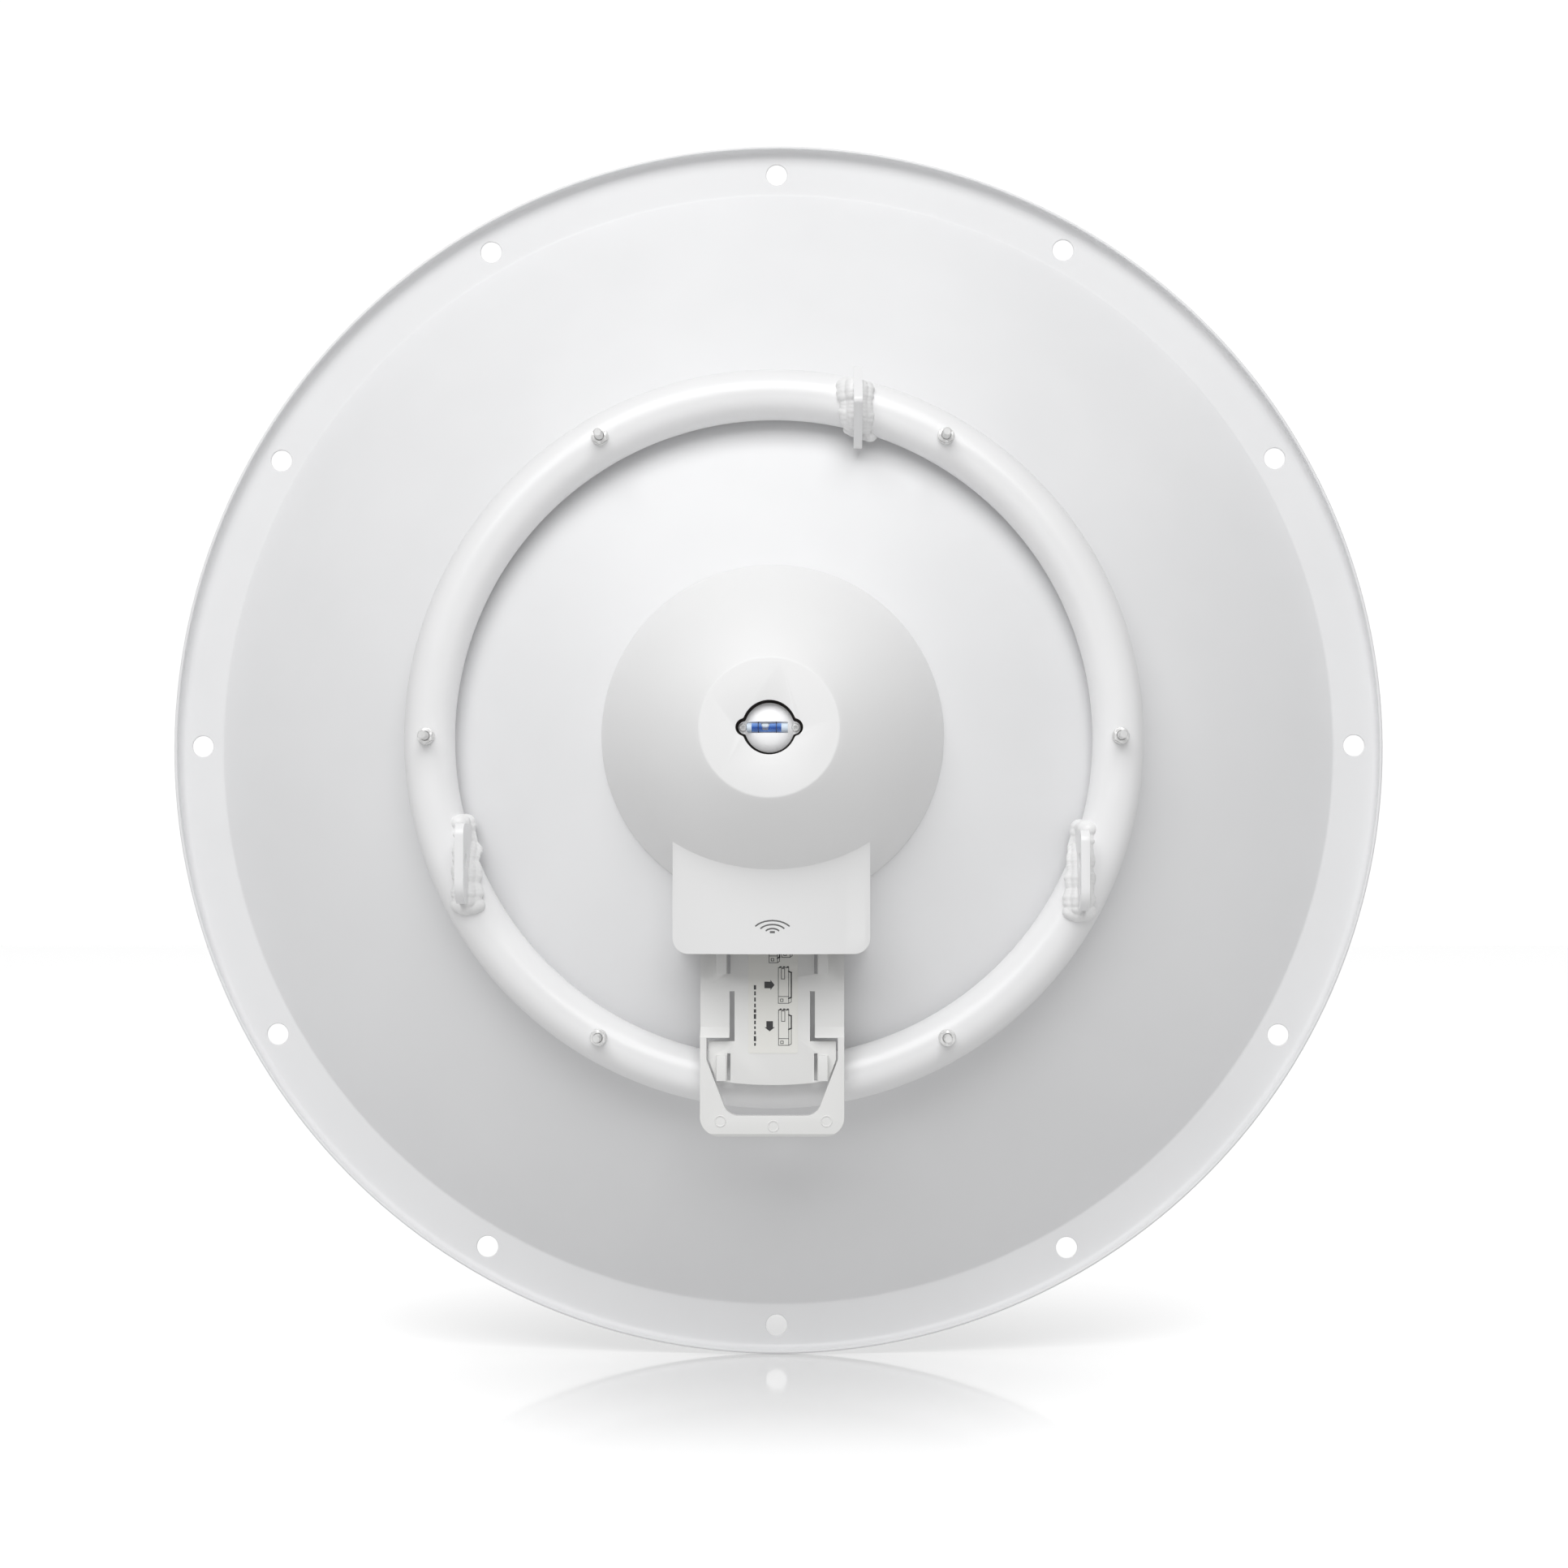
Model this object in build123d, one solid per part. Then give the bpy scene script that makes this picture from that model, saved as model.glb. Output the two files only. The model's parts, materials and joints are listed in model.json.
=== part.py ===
from build123d import *
import os
from math import cos, pi, radians, sin, sqrt

# Outdoor point-to-point wireless bridge antenna: a pressed dish reflector with a welded tube ring
# behind it, a feed through its middle, a plastic shroud with a bubble level over the feed's back,
# and a plastic cradle that the radio slides on to, with a sprung release loop.
#
# The model is laid out about the dish axis. X is to the right seen from behind, Y is forward along
# the beam and Z is up. "back" is a distance behind the plane of the dish's flange, so a point has
# y = -back. At export everything moves so that the origin is on the elevation pivot, midway between
# the holes of the two lower tabs. All lengths are millimetres.

# ---- Reflector ----
RIM_RADIUS = 373.8
FLANGE_INNER = 344.0
DISH_DEPTH = 132.0
SHEET = 1.8
HOLE_SLACK = 0.3
LIP_HEIGHT = 8.0
LIP_BEND = 4.0
LIP_TILT = 14.0
HUB_RADIUS = 45.0
HUB_HOLE = 22.6
RIM_HOLES = 12
RIM_HOLE_CIRCLE = 357.0
RIM_HOLE_RADIUS = 6.5

# ---- Back ring and its fasteners ----
RING_RADIUS = 201.0
TUBE_RADIUS = 15.0
TUBE_WALL = 2.0
RING_GAP = 0.4
RING_BOLTS = 6
BOLT_RADIUS = 2.5
BOLT_HOLE = 2.8
BOLT_STANDOUT = 18.0
BOLT_HEAD = 3.5
BOLT_TIP = 0.7
NUT_FLATS = 8.0
NUT_HEIGHT = 4.5
WASHER_RADIUS = 5.0
WASHER_THICK = 1.0
SEAT_RADIUS = 6.5
SEAT_THICK = 1.2
THREAD_GAP = 0.05

# ---- Mounting tabs on the ring ----
TAB_THICK = 5.0
TAB_HOLE = 4.25
TAB_HOLE_BACK = 135.0
PIVOT_Z = -72.0
SIDE_TAB_X = 178.0
LEFT_TAB_TOP = -51.0
RIGHT_TAB_TOP = -55.0
SIDE_TAB_LENGTH = 46.0
SIDE_TAB_BACK = 147.0
TOP_TAB_X = 49.5
TOP_TAB_LOW = 169.0
TOP_TAB_APEX = 191.0
TOP_TAB_HIGH = 216.0
TOP_TAB_BACK = 149.0
TAB_ROOT_BACK = 104.0
SIDE_TAB_UPPER_CORNER = 7.0
SIDE_TAB_LOWER_CORNER = 14.0
TOP_TAB_SHOULDER = 9.0
TOP_TAB_CORNER = 2.5
TOP_TAB_HOLE_DROP = 0.5
TOP_TAB_BEAD_INSET = 4.0
BEAD = 4.0

# ---- Rear shroud ----
SHROUD_BASE = 99.0
SHROUD_FLAT = 36.5
SHROUD_BACK = 212.0
SHROUD_BULGE = 6.4
SHROUD_EDGE = 2.0
SHROUD_SKIRT = 12.0
WALL = 2.2
SHROUD_GAP = 0.4
COVER_WIDTH = 111.6
COVER_BOTTOM = -125.0
COVER_TOP = -40.0
COVER_FRONT = 90.0
COVER_BACK = 165.0
COVER_CROWN = 165.0
COVER_CORNER = 9.0
RADIO_BAY_WIDTH = 90.0
RADIO_BAY_BACK = 157.0
OPENING_RADIUS = 15.0
EAR_REACH = 13.6
EAR_RADIUS = 4.9
BOSS_RADIUS = 3.6
BOSS_PILOT = 1.4
BOSS_SCREW_SLACK = 0.6
BOSS_DEPTH = 14.0
SHROUD_SCREW_HEAD = 3.4
SHROUD_SEAT_RADIUS = 4.5
BOSS_PLACES = [(-72.0, 48.0), (72.0, 48.0), (-49.0, -112.0), (49.0, -112.0)]

# ---- Radio cradle and its release loop ----
CRADLE_WIDTH = 82.4
CRADLE_TOP = -84.0
PLATE_BACK = 129.5
PLATE_THICK = 3.5
HINGE_Z = -147.0
SLOT_INNER = 21.6
SLOT_OUTER = 24.4
CROSS_SLOT_TOP = -173.5
CROSS_SLOT_BOTTOM = -175.6
ARM_INNER = 37.5
TONGUE_END = -200.6
TONGUE_CURVE = 2.4
TONGUE_SLIT = 1.0
LOOP_INNER_END = -217.9
LOOP_TAPER_START = -186.0
LOOP_TAPER_END = 25.2
LOOP_END = -229.6
LOOP_CORNER = 9.0
LOOP_OUTER_CORNER = 11.0
LOOP_THICK = 8.0
HINGE_GAP = 0.3
KEEPER_X = 29.0
KEEPER_WIDTH = 6.0
KEEPER_HEIGHT = 5.0
KEEPER_SPANS = [(-137.0, -100.0), (-198.0, -183.5)]
RIB_X = 12.0
RIB_WIDTH = 2.0
RIB_HEIGHT = 3.5
RIB_SPAN = (-196.0, -112.0)
LABEL_SIZE = (28.4, 70.0)
LABEL_CENTRE = (0.5, -147.5)
LABEL_THICK = 0.2
CRADLE_SCREW_PLACES = [(-30.0, -92.0), (30.0, -92.0), (-30.0, -114.0), (30.0, -114.0)]
CRADLE_SCREW = 2.0
SCREW_SLACK = 0.15
CRADLE_NUT_FLATS = 7.0
SPACER_RADIUS = 5.0

# ---- Feed ----
FLANGE_RADIUS = 42.0
FLANGE_THICK = 4.0
GASKET_THICK = 1.6
TUBE_OUTER = 22.0
TUBE_INNER = 19.6
HOUSING_RADIUS = 26.0
HOUSING_BACK = 196.0
BACK_PLATE_THICK = 3.0
FEED_SCREWS = 4
FEED_SCREW_CIRCLE = 34.0
FEED_SCREW = 2.5
FEED_SCREW_HEAD = 4.2
FEED_SOCKET_FLATS = 4.0
FEED_NUT_FLATS = 8.0
TUBE_FRONT = -62.0
CAP_SLEEVE = 30.0
CAP_FRONT = -104.0
CAP_WALL = 2.0
SUB_BACK = -92.0
SUB_RADIUS = 42.0
SUB_THICK = 3.0
PORT_BACK = 165.0
PORT_ANGLES = [225.0, 315.0]
PORT_BOSS = 7.0
CONNECTOR_FLATS = 11.0
CONNECTOR_BASE = 3.0
CONNECTOR_LENGTH = 13.0
CONNECTOR_RADIUS = 3.15
INSULATOR_RADIUS = 2.1
INSULATOR_LENGTH = 6.0
PROBE_RADIUS = 0.65
PROBE_REACH = 11.0

# ---- Bubble level ----
HOLDER_RADIUS = 13.6
HOLDER_EDGE = 3.4
HOLDER_BACK = 205.0
HOLDER_DOME = 210.5
VIAL_RADIUS = 3.1
VIAL_BORE = 2.4
VIAL_LENGTH = 22.4
VIAL_X = -1.1
VIAL_BACK = 207.6
LEFT_PLUG = 2.6
RIGHT_PLUG = 3.5
BUBBLE_X = -2.2
BUBBLE_LENGTH = 4.6
BUBBLE_RADIUS = 1.3
BUBBLE_TRAVEL = 4.0
BUBBLE_RISE = 0.9
BUBBLE_PLAY = 0.08
LEVEL_SCREW = 1.4
LEVEL_SCREW_X = 14.5
LEVEL_SCREW_HEAD = 2.2


def dish_back(r):
    """How far behind the flange plane the dish's rear surface is at radius r."""
    if r < HUB_RADIUS:
        r = HUB_RADIUS
    return DISH_DEPTH * (1.0 - (r / FLANGE_INNER) ** 2)


HUB_BACK = dish_back(HUB_RADIUS)


def ring_centre_back():
    """The tube's centre plane, so that the tube just clears the dish's rear surface."""
    reach = TUBE_RADIUS + RING_GAP
    steps = 400
    radii = [RING_RADIUS - reach + 2 * reach * i / steps for i in range(steps + 1)]
    return max(dish_back(r) + sqrt(max(reach ** 2 - (r - RING_RADIUS) ** 2, 0.0)) for r in radii)


RING_BACK = ring_centre_back()
RING_CREST = RING_BACK + TUBE_RADIUS


def back_plane(back):
    """A sketch plane square to the dish axis: sketch x is X, sketch y is Z, normal to the rear."""
    return Plane(origin=(0, -back, 0), x_dir=(1, 0, 0), z_dir=(0, -1, 0))


def slab(outline, back_low, back_high):
    """An XZ outline as a prism between two distances behind the flange plane."""
    return extrude(back_plane(back_low) * outline, back_high - back_low)


def rod(x, z, radius, back_low, back_high):
    """A cylinder parallel to the dish axis."""
    return slab(Pos(x, z) * Circle(radius), back_low, back_high)


def hexagon(x, z, flats, back_low, back_high):
    """A hexagonal prism parallel to the dish axis, given its width across flats."""
    return slab(Pos(x, z) * RegularPolygon(flats / 2, 6, major_radius=False), back_low, back_high)


def spin(edges):
    """A body of revolution about the dish axis from edges in (radius, -back)."""
    return revolve(make_face(edges), Axis.Y)


def spin_outline(*points):
    """A body of revolution from a polygon of (radius, back) points."""
    closed = [(r, -back) for r, back in points + points[:1]]
    return spin(Polyline(*closed).edges())


def on_circle(count, radius):
    """(x, z) of points equally spaced round the dish axis, the first one to the right."""
    for i in range(count):
        turn = 2 * pi * i / count
        yield radius * cos(turn), radius * sin(turn)


def parabola(r0, r1, setback):
    """A stretch of the dish's parabolic section: three Bezier poles give it exactly."""
    curve = DISH_DEPTH / FLANGE_INNER ** 2
    poles = [(r0, r0 * r0), ((r0 + r1) / 2, r0 * r1), (r1, r1 * r1)]
    return Bezier(*[(r, -(DISH_DEPTH - curve * square - setback)) for r, square in poles])


def dish_solid(setback, front):
    """Everything between the plane at back = front and the dish's surface, moved forward by setback."""
    hub = HUB_BACK - setback
    edges = [
        Line((0, -hub), (HUB_RADIUS, -hub)),
        parabola(HUB_RADIUS, FLANGE_INNER, setback),
        Line((FLANGE_INNER, setback), (FLANGE_INNER, -front)),
        Line((FLANGE_INNER, -front), (0, -front)),
        Line((0, -front), (0, -hub)),
    ]
    return spin(edges)


def torus(minor):
    """A torus on the ring's centreline, its seam midway between two bolts."""
    seam = 180.0 / RING_BOLTS
    return Pos(0, -RING_BACK, 0) * Rot(90, 0, 0) * Rot(0, 0, seam) * Torus(RING_RADIUS, minor)


# The space forward of three surfaces: the shroud's foot, and the dish's rear and front faces.
SPACE_FRONT = -60.0
BELOW_SHROUD = dish_solid(-SHROUD_GAP, SPACE_FRONT)
BELOW_REAR_FACE = dish_solid(0.0, SPACE_FRONT)
BELOW_FRONT_FACE = dish_solid(SHEET, SPACE_FRONT)


# ---- Reflector ----
def on_lip_bend(radius, angle):
    """A point of the lip's bend, at an angle in radians from the flange's normal."""
    x = RIM_RADIUS - SHEET - LIP_BEND + radius * sin(angle)
    return x, radius * cos(angle) - LIP_BEND


def lip_edges():
    """The lip's bend, its sides that lean inward toward the rear, and its round free edge."""
    inner, outer, middle = LIP_BEND, LIP_BEND + SHEET, LIP_BEND + SHEET / 2
    turn = radians(90 + LIP_TILT)
    x, y = on_lip_bend(middle, turn)
    run = (y + LIP_HEIGHT - SHEET / 2) / cos(radians(LIP_TILT))
    along = (-sin(radians(LIP_TILT)) * run, -cos(radians(LIP_TILT)) * run)
    inner_end, outer_end = on_lip_bend(inner, turn), on_lip_bend(outer, turn)
    inner_edge = (inner_end[0] + along[0], inner_end[1] + along[1])
    outer_edge = (outer_end[0] + along[0], outer_end[1] + along[1])
    reach = 1 + SHEET / 2 / run
    tip = (x + along[0] * reach, y + along[1] * reach)
    return [
        ThreePointArc(on_lip_bend(inner, 0), on_lip_bend(inner, turn / 2), inner_end),
        Line(inner_end, inner_edge),
        ThreePointArc(inner_edge, tip, outer_edge),
        Line(outer_edge, outer_end),
        ThreePointArc(outer_end, on_lip_bend(outer, turn / 2), on_lip_bend(outer, 0)),
    ]


def reflector():
    """Pressed sheet: flat hub, parabolic dish, flat flange and a lip turned to the rear."""
    bend_start = RIM_RADIUS - SHEET - LIP_BEND
    edges = [
        Line((HUB_HOLE, -HUB_BACK), (HUB_RADIUS, -HUB_BACK)),
        parabola(HUB_RADIUS, FLANGE_INNER, 0.0),
        Line((FLANGE_INNER, 0), (bend_start, 0)),
        *lip_edges(),
        Line((bend_start, SHEET), (FLANGE_INNER, SHEET)),
        parabola(FLANGE_INNER, HUB_RADIUS, SHEET),
        Line((HUB_RADIUS, SHEET - HUB_BACK), (HUB_HOLE, SHEET - HUB_BACK)),
        Line((HUB_HOLE, SHEET - HUB_BACK), (HUB_HOLE, -HUB_BACK)),
    ]
    dish = spin(edges)
    for x, z in on_circle(RIM_HOLES, RIM_HOLE_CIRCLE):
        dish -= rod(x, z, RIM_HOLE_RADIUS, -10, 10)
    for x, z in on_circle(RING_BOLTS, RING_RADIUS):
        dish -= rod(x, z, BOLT_HOLE, 0, DISH_DEPTH)
    for x, z in on_circle(FEED_SCREWS, FEED_SCREW_CIRCLE):
        dish -= rod(x, z, FEED_SCREW + HOLE_SLACK, 0, DISH_DEPTH)
    for x, z in CRADLE_SCREW_PLACES:
        dish -= rod(x, z, CRADLE_SCREW + HOLE_SLACK, 0, DISH_DEPTH)
    for x, z in BOSS_PLACES:
        dish -= rod(x, z, BOSS_PILOT + BOSS_SCREW_SLACK, 0, DISH_DEPTH)
    return dish


# ---- Back ring, tabs and welds ----
def back_ring():
    """Bent steel tube: equal arcs joined end to end, each drilled through its middle for a bolt."""
    section = Plane(origin=(RING_RADIUS, -RING_BACK, 0), x_dir=(1, 0, 0), z_dir=(0, 0, 1))
    wall = section * (Circle(TUBE_RADIUS) - Circle(TUBE_RADIUS - TUBE_WALL))
    step = 360.0 / RING_BOLTS
    arc = Rot(0, -step / 2, 0) * revolve(wall, Axis.Y, step)
    arc -= rod(RING_RADIUS, 0, BOLT_HOLE, RING_BACK - TUBE_RADIUS - 1, RING_CREST + 1)
    ring = arc
    for i in range(1, RING_BOLTS):
        ring += Rot(0, i * step, 0) * arc
    return ring


def tab(x, outline, hole_z):
    """A plate square to X, seated on the tube, with a bolt hole; outline is in (y, z)."""
    plate = Pos(x, 0, 0) * extrude(Plane.YZ * outline, TAB_THICK / 2, both=True)
    hole = Pos(x, -TAB_HOLE_BACK, hole_z) * Rot(0, 90, 0) * Cylinder(TAB_HOLE, 3 * TAB_THICK)
    return plate - torus(TUBE_RADIUS) - hole


def side_tab(side, top):
    """Lower tab on the left (-1) or right (1): long, with rounded rear corners."""
    middle = top - SIDE_TAB_LENGTH / 2
    depth = SIDE_TAB_BACK - TAB_ROOT_BACK
    outline = Pos(-(TAB_ROOT_BACK + SIDE_TAB_BACK) / 2, middle) * Rectangle(depth, SIDE_TAB_LENGTH)
    rear = outline.vertices().sort_by(Axis.X)[:2]
    outline = fillet(rear.sort_by(Axis.Y)[-1], SIDE_TAB_UPPER_CORNER)
    rear = outline.vertices().sort_by(Axis.Y)[:2].sort_by(Axis.X)[0]
    outline = fillet(rear, SIDE_TAB_LOWER_CORNER)
    return tab(side * SIDE_TAB_X, outline, PIVOT_Z)


def top_tab():
    """Upper tab, right of centre: a gable shape whose point carries the hole."""
    shoulder = TAB_ROOT_BACK + TOP_TAB_SHOULDER
    points = [
        (-TAB_ROOT_BACK, TOP_TAB_LOW),
        (-shoulder, TOP_TAB_LOW),
        (-TOP_TAB_BACK, TOP_TAB_APEX),
        (-shoulder, TOP_TAB_HIGH),
        (-TAB_ROOT_BACK, TOP_TAB_HIGH),
    ]
    outline = make_face(Polyline(*points, points[0]).edges())
    outline = fillet(outline.vertices().sort_by(Axis.X)[0], TOP_TAB_CORNER)
    return tab(TOP_TAB_X, outline, TOP_TAB_APEX - TOP_TAB_HOLE_DROP)


def weld(x, low, high):
    """The two fillet beads along a tab's foot, one each side of the plate."""
    shell = torus(TUBE_RADIUS + BEAD) - torus(TUBE_RADIUS)
    beads = []
    for side in (-1, 1):
        centre = x + side * (TAB_THICK / 2 + BEAD / 2)
        depth = RING_CREST + BEAD - RING_BACK
        strip = Pos(centre, -(RING_BACK + depth / 2), (low + high) / 2) * Box(BEAD, depth, high - low)
        beads.append(shell & strip)
    return beads


# ---- Ring fasteners ----
def front_seat(x, z, radius, hole):
    """A bevelled seat: flat in front, and cut to the dish's front surface behind."""
    lowest = dish_back(sqrt(x * x + z * z) + radius) - SHEET - SEAT_THICK
    solid = rod(x, z, radius, lowest, lowest + 30) - rod(x, z, hole, lowest - 1, lowest + 31)
    return solid & BELOW_FRONT_FACE, lowest


def ring_fasteners():
    """Bolts from the front, bevelled seats, and washers and nuts on the tube's crest."""
    bolts, seats, washers, nuts = [], [], [], []
    for x, z in on_circle(RING_BOLTS, RING_RADIUS):
        seat, front = front_seat(x, z, SEAT_RADIUS, BOLT_HOLE)
        seats.append(seat)
        shank = rod(x, z, BOLT_RADIUS, front, RING_CREST + BOLT_STANDOUT)
        tip = shank.faces().sort_by(Axis.Y)[0].edges()
        bolts.append(chamfer(tip, BOLT_TIP) + hexagon(x, z, NUT_FLATS, front - BOLT_HEAD, front))
        washer = rod(x, z, WASHER_RADIUS, RING_CREST, RING_CREST + WASHER_THICK)
        washers.append(washer - rod(x, z, BOLT_HOLE, RING_CREST - 1, RING_CREST + 3))
        nut_front = RING_CREST + WASHER_THICK
        nut = hexagon(x, z, NUT_FLATS, nut_front, nut_front + NUT_HEIGHT)
        nuts.append(nut - rod(x, z, BOLT_RADIUS + THREAD_GAP, nut_front - 1, nut_front + 7))
    return bolts, seats, washers, nuts


# ---- Rear shroud ----
def shroud_body(inset):
    """The domed cone with its square-cornered radio cover, shrunk inwards by inset."""
    base = SHROUD_BASE - inset
    flat = SHROUD_FLAT + SHROUD_EDGE - inset / 2
    back = SHROUD_BACK - inset
    meets = dish_back(SHROUD_BASE)
    foot = meets - SHROUD_SKIRT
    edges = [
        Line((0, -foot), (base + SHROUD_EDGE, -foot)),
        Line((base + SHROUD_EDGE, -foot), (base, -meets)),
        SagittaArc((base, -meets), (flat, -back), SHROUD_BULGE),
        Line((flat, -back), (0, -back)),
        Line((0, -back), (0, -foot)),
    ]
    cone = spin(edges)
    width = COVER_WIDTH - 2 * inset
    corner = COVER_CORNER - inset
    low = COVER_BOTTOM + inset
    height = COVER_TOP - low
    face = Pos(0, (COVER_TOP + low) / 2) * RectangleRounded(width, height, corner)
    box = slab(face, COVER_FRONT, COVER_BACK + 5)
    crown = Pos(0, COVER_CROWN - COVER_BACK, COVER_BOTTOM) * Cylinder(COVER_CROWN - inset, 4 * height)
    return cone, box & crown


def rear_shroud():
    """Moulded shell, open at the dish and at the radio bay, with four screw bosses inside."""
    outer_cone, outer_box = shroud_body(0.0)
    rim = outer_cone.faces().sort_by(Axis.Y)[0].edges()
    outer_cone = fillet(rim, SHROUD_EDGE)
    inner_cone, inner_box = shroud_body(WALL)
    outer = outer_cone + outer_box
    inner = inner_cone + inner_box
    shell = outer - inner
    for x, z in BOSS_PLACES:
        boss = rod(x, z, BOSS_RADIUS, COVER_FRONT, SHROUD_BACK) & outer
        shell += boss
    for x, z in BOSS_PLACES:
        shell -= rod(x, z, BOSS_PILOT, COVER_FRONT, dish_back(sqrt(x * x + z * z)) + BOSS_DEPTH)
    bay = Pos(0, COVER_BOTTOM) * Rectangle(RADIO_BAY_WIDTH, 5 * WALL)
    shell -= slab(bay, COVER_FRONT, RADIO_BAY_BACK)
    shell -= slab(level_outline(OPENING_RADIUS, EAR_RADIUS), SHROUD_BACK - 2 * WALL, SHROUD_BACK + WALL)
    return shell - BELOW_SHROUD


def level_outline(radius, ear):
    """A circle with a rounded ear each side."""
    outline = Circle(radius)
    for side in (-1, 1):
        outline += Pos(side * EAR_REACH, 0) * Circle(ear)
    waist = outline.vertices()
    return fillet(waist, 1.5)


def shroud_screws():
    """Self-tapping screws from the dish's front into the bosses, each on a bevelled seat."""
    screws, seats = [], []
    for x, z in BOSS_PLACES:
        seat, front = front_seat(x, z, SHROUD_SEAT_RADIUS, BOSS_PILOT + BOSS_SCREW_SLACK)
        seats.append(seat)
        tip = dish_back(sqrt(x * x + z * z)) + BOSS_DEPTH - 2
        head = rod(x, z, SHROUD_SCREW_HEAD, front - 2.2, front)
        head = fillet(head.faces().sort_by(Axis.Y)[-1].edges(), 1.2)
        screws.append(rod(x, z, BOSS_PILOT, front, tip) + head)
    return screws, seats


# ---- Radio cradle ----
def mirrored(points):
    """Points down one side of an outline, then back up the other, as a closed polygon."""
    return points + [(-x, z) for x, z in reversed(points)]


def loop_inner_points(slit):
    """The release loop's inner side from the cross slot down, each point moved in by slit."""
    x = ARM_INNER - slit
    return [(x, CROSS_SLOT_TOP), (x, LOOP_TAPER_START), (LOOP_TAPER_END - slit, LOOP_INNER_END)]


def face_of(points):
    """A polygon face from its corner points."""
    return make_face(Polyline(*points, points[0]).edges())


def keeper(side, low, high):
    """A hooked rail, lipped towards the middle, that a slot in the radio's back slides under."""
    middle = (low + high) / 2
    stem = Pos(side * (KEEPER_X + 1.0), middle) * Rectangle(KEEPER_WIDTH - 2.0, high - low)
    lip = Pos(side * KEEPER_X, middle) * Rectangle(KEEPER_WIDTH, high - low)
    top = PLATE_BACK + KEEPER_HEIGHT
    hook = slab(lip, top - 2.0, top)
    hook = fillet(hook.edges().filter_by(Axis.Z), 0.9)
    return slab(stem, PLATE_BACK - 1.0, top - 1.0) + hook


def radio_cradle():
    """Back plate with a waist and a tongue between the slots, hooked rails and underside ribs."""
    under = PLATE_BACK - PLATE_THICK
    height = CRADLE_TOP - HINGE_Z
    upper = Pos(0, (CRADLE_TOP + HINGE_Z) / 2) * RectangleRounded(CRADLE_WIDTH, height, 2.0)
    square_foot = Pos(0, HINGE_Z + height / 8) * Rectangle(CRADLE_WIDTH, height / 4)
    waist_top = HINGE_Z + 5.0
    waist = Rectangle(2 * SLOT_INNER, waist_top - CROSS_SLOT_BOTTOM)
    waist = Pos(0, (waist_top + CROSS_SLOT_BOTTOM) / 2) * waist
    plate = slab(upper + square_foot + waist + tongue(), under, PLATE_BACK)
    slot_x = KEEPER_X - KEEPER_WIDTH / 2 - 1.1
    for side in (-1, 1):
        for low, high in KEEPER_SPANS:
            plate += keeper(side, low, high)
            slot = Pos(side * slot_x, (low + high) / 2 + 0.5) * Rectangle(1.9, high - low + 1)
            plate -= slab(slot, under - RIB_HEIGHT, PLATE_BACK + 1)
        rib = Pos(side * RIB_X, sum(RIB_SPAN) / 2) * Rectangle(RIB_WIDTH, RIB_SPAN[1] - RIB_SPAN[0])
        plate += slab(rib, under - RIB_HEIGHT, under)
    for x, z in CRADLE_SCREW_PLACES:
        plate -= rod(x, z, CRADLE_SCREW + SCREW_SLACK, under - 1, PLATE_BACK + 1)
        plate -= screw_head(x, z, SCREW_SLACK)
    return plate


def tongue():
    """The wide lower part between the loop's arms, ending in a shallow curve."""
    shoulder, taper, end = loop_inner_points(TONGUE_SLIT)
    slope = (end[0] - taper[0]) / (end[1] - taper[1])
    corner_z = TONGUE_END + TONGUE_CURVE
    corner = (taper[0] + slope * (corner_z - taper[1]), corner_z)
    shoulder = (shoulder[0], CROSS_SLOT_BOTTOM)
    edges = [
        Line((-shoulder[0], shoulder[1]), shoulder),
        Line(shoulder, taper),
        Line(taper, corner),
        ThreePointArc(corner, (0, TONGUE_END), (-corner[0], corner[1])),
        Line((-corner[0], corner[1]), (-taper[0], taper[1])),
        Line((-taper[0], taper[1]), (-shoulder[0], shoulder[1])),
    ]
    return make_face(edges)


def screw_head(x, z, slack):
    """Countersunk head flush with the cradle's face."""
    small, large, height = CRADLE_SCREW + slack, 2 * CRADLE_SCREW + slack, CRADLE_SCREW + 0.3
    cone = Rot(90, 0, 0) * Cone(small, large, height)
    return Pos(x, -(PLATE_BACK - height / 2), z) * cone


def cradle_latch():
    """Two sprung arms from the hinge line and the thick D-shaped loop between their ends."""
    under = PLATE_BACK - PLATE_THICK
    top = HINGE_Z - HINGE_GAP
    outer = Pos(0, (top + LOOP_END) / 2) * Rectangle(CRADLE_WIDTH, top - LOOP_END)
    outer = fillet(outer.vertices().sort_by(Axis.Y)[:2], LOOP_OUTER_CORNER)
    middle = [(SLOT_OUTER, HINGE_Z + 1), (SLOT_OUTER, CROSS_SLOT_TOP)]
    hole = face_of(mirrored(middle + loop_inner_points(0.0)))
    hole = fillet(hole.vertices().sort_by(Axis.Y)[:2], LOOP_CORNER)
    loop = slab(outer - hole, under, under + LOOP_THICK)
    raised = under + LOOP_THICK
    profile = [
        (-under + 1, HINGE_Z + 1),
        (-PLATE_BACK, HINGE_Z + 1),
        (-PLATE_BACK, CROSS_SLOT_TOP + 6.0),
        (-raised, CROSS_SLOT_TOP + 0.5),
        (-raised, LOOP_END + 1.5),
        (-raised + 1.5, LOOP_END - 1),
        (-under + 1, LOOP_END - 1),
    ]
    return loop & extrude(Plane.YZ * face_of(profile), CRADLE_WIDTH, both=True)


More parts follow.
